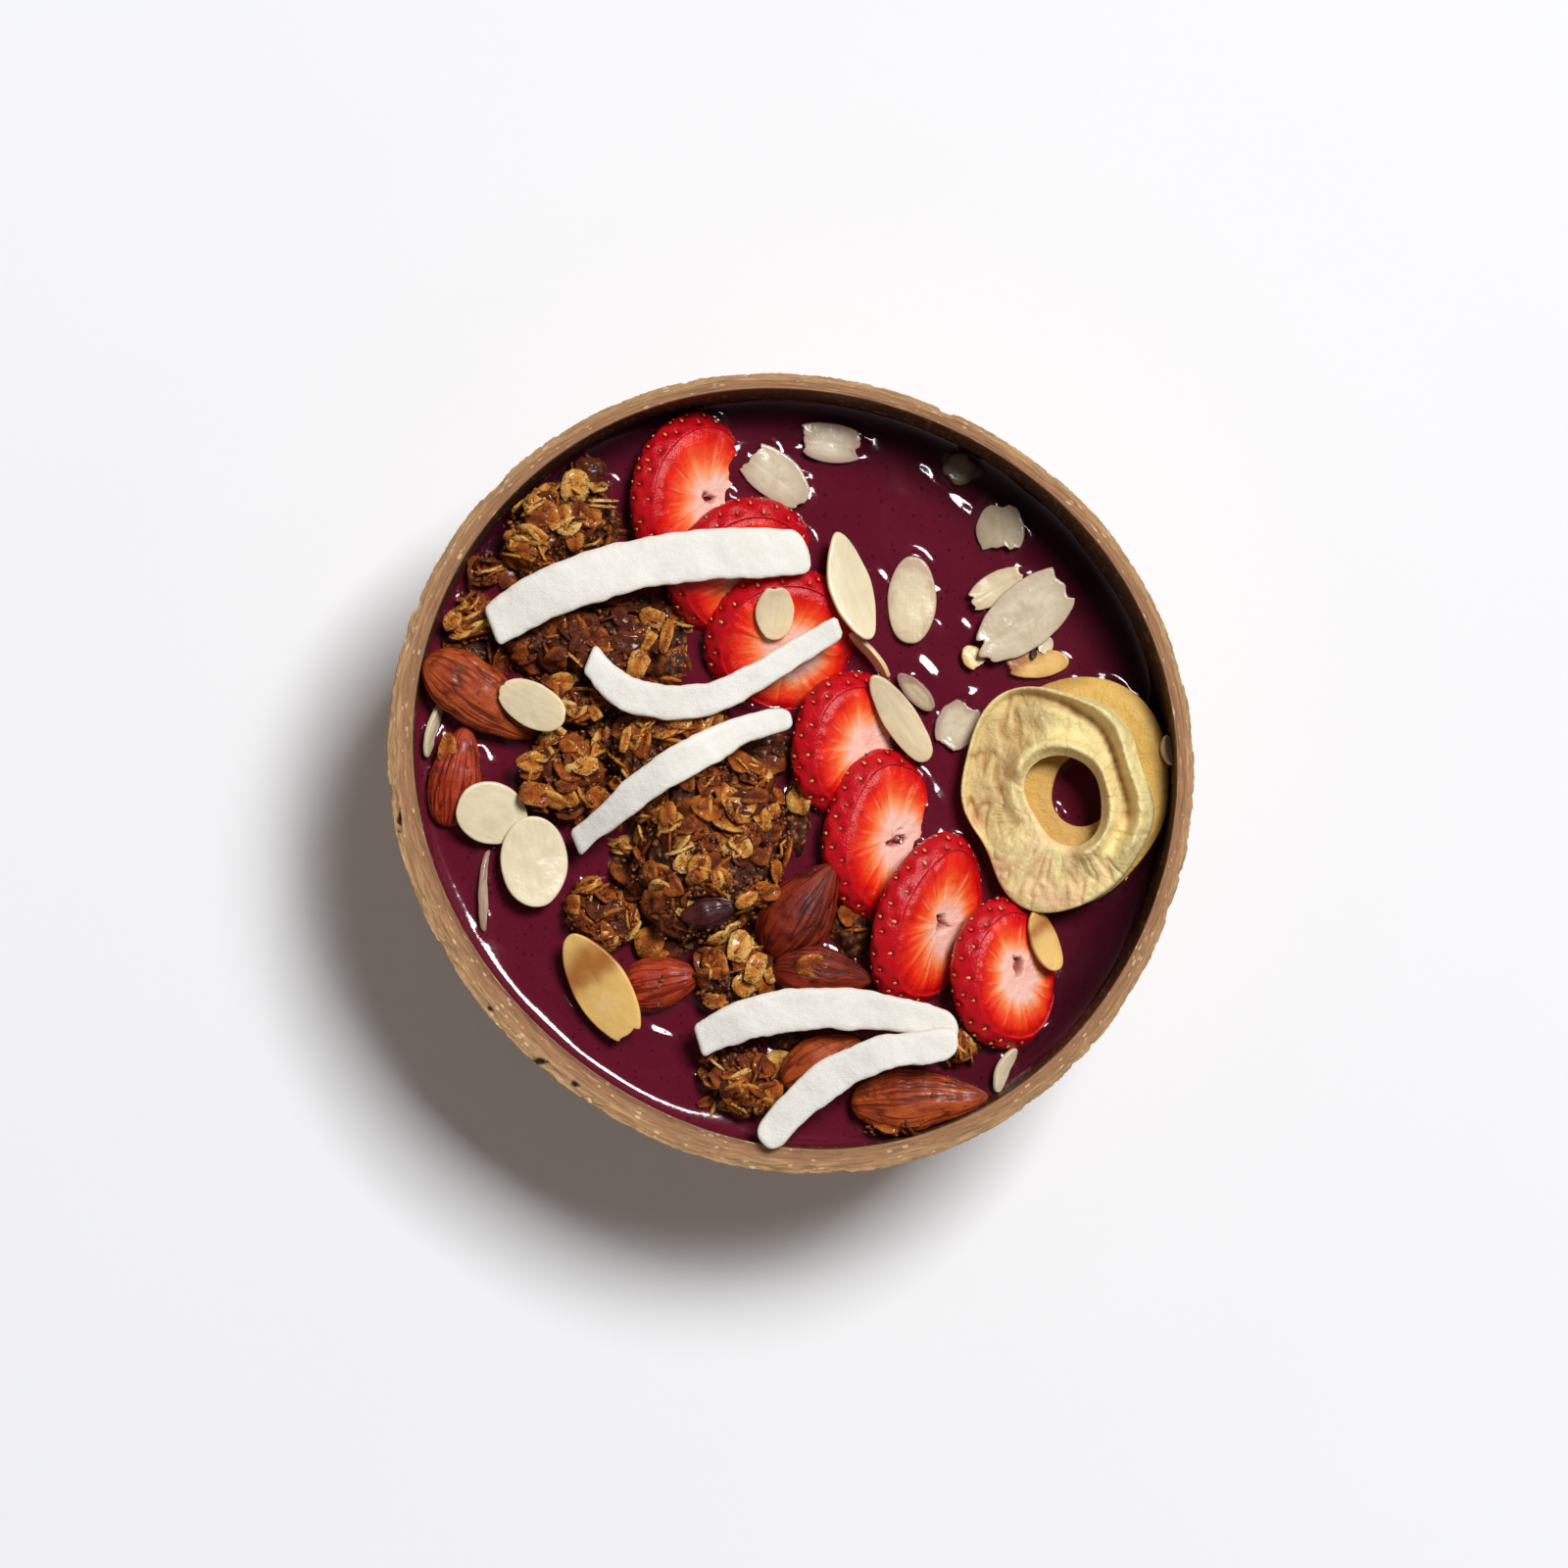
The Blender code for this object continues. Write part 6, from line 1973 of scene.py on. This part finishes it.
def apple_material(name, settings, smooth_ring):
    """Dried apple: cream ridges, tan hollows darkened partly by painted shade, yellow veins and a strip of
    grey-green skin.
    """
    material, tree = new_material(name)
    place = tree.place()
    deep, skin, rosy = (tree.attribute(name) for name in ("deep", "skin", "rosy"))
    cloud = tree.mottle(place, 6.0, 1.5)
    light = settings.olive if smooth_ring else settings.cream
    colour = tree.mix(tree.between(cloud, 0.2, 0.8), darker(light, 0.84), light)
    warp = tree.node("ShaderNodeTexNoise", {"Vector": place, "Scale": 0.5}).outputs["Color"]
    warped = tree.node("ShaderNodeVectorMath", {0: place, 1: warp}, operation="ADD").outputs[0]
    vein = tree.cell_edges(warped, 0.28)
    vein = tree.times(tree.between(vein, 0.09, 0.0), 0.16 if smooth_ring else 0.24)
    colour = tree.mix(vein, colour, linear(196, 150, 56))
    rosy = tree.times(rosy, tree.between(cloud, 0.3, 0.75))
    colour = tree.mix(rosy, colour, linear(220, 168, 132))
    # Painted shade, partly: folds, hollows and wrinkles (deep) are darkened towards tan and brown.
    colour = tree.mix(deep, colour, tree.mix(deep, settings.tan, linear(164, 116, 58)))
    colour = tree.mix(skin, colour, linear(150, 142, 96))
    grainy = tree.noise(place, 1.3, 4.0, 0.65)
    tree.finish(colour=colour, roughness=0.5, specular=0.35, normal=tree.bump(grainy, 0.3))
    return material


def top_ring_relief(azimuth, share, x, y, wrinkle):
    """Heights over the top ring's plane, in millimetres, and how deep in a fold each point lies.

    A lip runs round the hole, a thick roll round the far side, with a fold between that runs out
    to the edge; the near side has long wrinkles across the ring and the left long ones down it.
    Lip, roll and fold are bell curves across the ring; wrinkles lie where a noise is near zero.
    """
    place = stacked(x, y, 0.0)
    degrees = np.degrees(azimuth) % 360
    turn = np.where(degrees > 240, degrees - 360, degrees)
    fold_at = 0.52 + 0.36 * smooth(35, 112, turn) + 0.03 * bumps(place, 5.0, 201)
    far = lobe(azimuth, -22, 112, 14)
    lip = 2.7 * ridge(share, 0.16, 0.14) * lobe(azimuth, -75, 150, 9)
    roll = 2.9 * ridge(share, fold_at + 0.2, 0.17) * lobe(azimuth, -45, 104, 14)
    fold = 2.2 * ridge(share, fold_at, 0.11) * far
    left = lobe(azimuth, 108, 205, 14)
    hollow = 1.7 * smooth(0.2, 0.42, share) * (1 - smooth(0.86, 1.0, share)) * left
    warp = stacked(x + 0.8 * bumps(place, 4.0, 202), 0.22 * y, np.zeros_like(x))
    cracks = (1 - np.abs(bumps(warp, 1.9, 203, 2)) * 2.2).clip(0, 1) ** 2
    spokes = stacked(7 * np.cos(azimuth), 7 * np.sin(azimuth), 0.9 * share)
    spokes = spokes + 0.25 * bumps(place, 2.2, 204)[..., None]
    pleats = (1 - np.abs(bumps(spokes, 1.0, 205, 2)) * 2.0).clip(0, 1) ** 1.6
    near = lobe(azimuth, 200, 345, 18)
    rest = 1 - np.clip(left + near, 0, 1)
    lines = cracks * left * smooth(0.14, 0.3, share) + pleats * near * smooth(0.1, 0.4, share) * 0.8
    lines = lines + 0.35 * pleats * rest
    swell = 0.6 * bumps(place, 6.5, 206, 2) + 0.14 * bumps(place, 1.5, 207, 2)
    # The material also uses deep as painted shade in the folds, hollows and wrinkles.
    deep = np.clip(0.7 * ridge(share, fold_at, 0.1) * far + 0.25 * hollow + 0.45 * lines, 0, 1)
    return lip + roll - fold - hollow - wrinkle * lines + swell, deep


def build_apple(settings):
    """Two dried rings: a smooth one below and, over it, one with a folded far side."""
    azimuth, share, up, x, y = ring_section(TOP_RING)
    relief, deep = top_ring_relief(azimuth, share, x, y, settings.wrinkle / MM)
    edge = smooth(0.0, 0.14, share) * (1 - smooth(0.9, 1.0, share))
    base = plane_heights("apple_ring_2", x, y) - TOP_RING_SINK
    relief = np.where(up > 0, relief, 0.55 * relief) * (0.35 + 0.65 * edge)
    z = base + relief + (up - 1) * RING_THICKNESS / 2
    skin = lobe(azimuth, -78, 12, 12) * smooth(0.9, 1.0, share) * smooth(-0.9, -0.1, up)
    rosy = 0.75 * lobe(azimuth, 195, 300, 20) + 0.45 * lobe(azimuth, 140, 200, 15)
    rosy = np.broadcast_to(np.clip(rosy, 0, 1), x.shape)
    make_piece(
        "apple_ring_folded", ring_grid(stacked(x, y, z)),
        apple_material("dried_apple", settings, False), "apple", ("apple_ring_2",),
        deep=(deep * np.clip(up * 2, 0, 1)).ravel(), skin=skin.ravel(), rosy=rosy.ravel(),
    )
    azimuth, share, up, x, y = ring_section(LOW_RING)
    place = stacked(x, y, 0.0)
    relief = 0.4 * bumps(place, 7.0, 211, 2) + 0.07 * bumps(place, 1.4, 212, 2)
    relief = relief - 0.8 * smooth(0.75, 1.0, share) ** 2
    base = plane_heights("apple_ring_1", x, y) - LOW_RING_SINK
    z = base + relief + (up - 1) * RING_THICKNESS / 2
    # Painted shade near the outer edge and round the hole of the lower ring.
    shade = 0.6 * smooth(0.7, 1.0, share) * np.clip(bumps(place, 5.0, 213) + 0.6, 0, 1)
    shade = shade + 0.5 * (1 - smooth(0.05, 0.5, share))
    none = np.zeros(x.size)
    make_piece(
        "apple_ring_smooth", ring_grid(stacked(x, y, z)),
        apple_material("dried_apple_olive", settings, True), "apple", ("apple_ring_1",),
        deep=shade.ravel(), skin=none, rosy=none,
    )


# ---- Operators, panel and run ----


class ACAI_OT_shell(bpy.types.Operator):
    """Build the coconut shell"""

    bl_idname = "acai.shell"
    bl_label = "Coconut shell"

    def execute(self, context):
        build_shell(context.scene.acai_shell)
        return {"FINISHED"}


class ACAI_OT_puree(bpy.types.Operator):
    """Build the fruit puree"""

    bl_idname = "acai.puree"
    bl_label = "Fruit puree"

    def execute(self, context):
        build_puree(context.scene.acai_puree)
        return {"FINISHED"}


class ACAI_OT_strawberries(bpy.types.Operator):
    """Build the strawberry slices and their seeds"""

    bl_idname = "acai.strawberries"
    bl_label = "Strawberry slices"

    def execute(self, context):
        build_strawberries(context.scene.acai_strawberry)
        return {"FINISHED"}


class ACAI_OT_almonds(bpy.types.Operator):
    """Build the whole and chopped almonds and the dried fruit"""

    bl_idname = "acai.almonds"
    bl_label = "Almonds"

    def execute(self, context):
        build_almonds(context.scene.acai_almond)
        return {"FINISHED"}


class ACAI_OT_flakes(bpy.types.Operator):
    """Build the almond flakes"""

    bl_idname = "acai.flakes"
    bl_label = "Almond flakes"

    def execute(self, context):
        build_flakes(context.scene.acai_almond)
        return {"FINISHED"}


class ACAI_OT_strips(bpy.types.Operator):
    """Build the coconut strips"""

    bl_idname = "acai.strips"
    bl_label = "Coconut strips"

    def execute(self, context):
        build_strips(context.scene.acai_coconut)
        return {"FINISHED"}


class ACAI_OT_granola(bpy.types.Operator):
    """Build the granola clusters: cores, oat flakes and crumbs"""

    bl_idname = "acai.granola"
    bl_label = "Granola"

    def execute(self, context):
        build_granola(context.scene.acai_granola)
        return {"FINISHED"}


class ACAI_OT_apple(bpy.types.Operator):
    """Build the two dried apple rings"""

    bl_idname = "acai.apple"
    bl_label = "Apple rings"

    def execute(self, context):
        build_apple(context.scene.acai_apple)
        return {"FINISHED"}


class ACAI_OT_stage(bpy.types.Operator):
    """Build the table, the lights and the camera"""

    bl_idname = "acai.stage"
    bl_label = "Stage"

    def execute(self, context):
        build_stage(context.scene.acai_stage)
        return {"FINISHED"}


SETTINGS = {
    "acai_shell": ShellSettings,
    "acai_puree": PureeSettings,
    "acai_strawberry": StrawberrySettings,
    "acai_almond": AlmondSettings,
    "acai_coconut": CoconutSettings,
    "acai_granola": GranolaSettings,
    "acai_apple": AppleSettings,
    "acai_stage": StageSettings,
}
OPERATORS = (
    ACAI_OT_shell,
    ACAI_OT_puree,
    ACAI_OT_strawberries,
    ACAI_OT_almonds,
    ACAI_OT_flakes,
    ACAI_OT_strips,
    ACAI_OT_granola,
    ACAI_OT_apple,
    ACAI_OT_stage,
)


class ACAI_PT_panel(bpy.types.Panel):
    """Lists the bowl's pieces and their settings"""

    bl_idname = "ACAI_PT_panel"
    bl_label = "Acai bowl"
    bl_space_type = "VIEW_3D"
    bl_region_type = "UI"
    bl_category = "Acai bowl"

    def draw(self, context):
        for operator in OPERATORS:
            self.layout.operator(operator.bl_idname)
        for name in SETTINGS:
            settings = getattr(context.scene, name)
            box = self.layout.box()
            for key in settings.bl_rna.properties.keys():
                if key not in ("name", "rna_type"):
                    box.prop(settings, key)


def register():
    for kind in (*SETTINGS.values(), *OPERATORS, ACAI_PT_panel):
        bpy.utils.register_class(kind)
    for name, kind in SETTINGS.items():
        setattr(bpy.types.Scene, name, PointerProperty(type=kind))


def unregister():
    for name in SETTINGS:
        delattr(bpy.types.Scene, name)
    for kind in (ACAI_PT_panel, *reversed(OPERATORS), *reversed(SETTINGS.values())):
        bpy.utils.unregister_class(kind)


def main():
    register()
    for operator in OPERATORS:
        group, name = operator.bl_idname.split(".")
        getattr(getattr(bpy.ops, group), name)()
    bpy.context.view_layer.update()


if __name__ == "__main__":
    main()
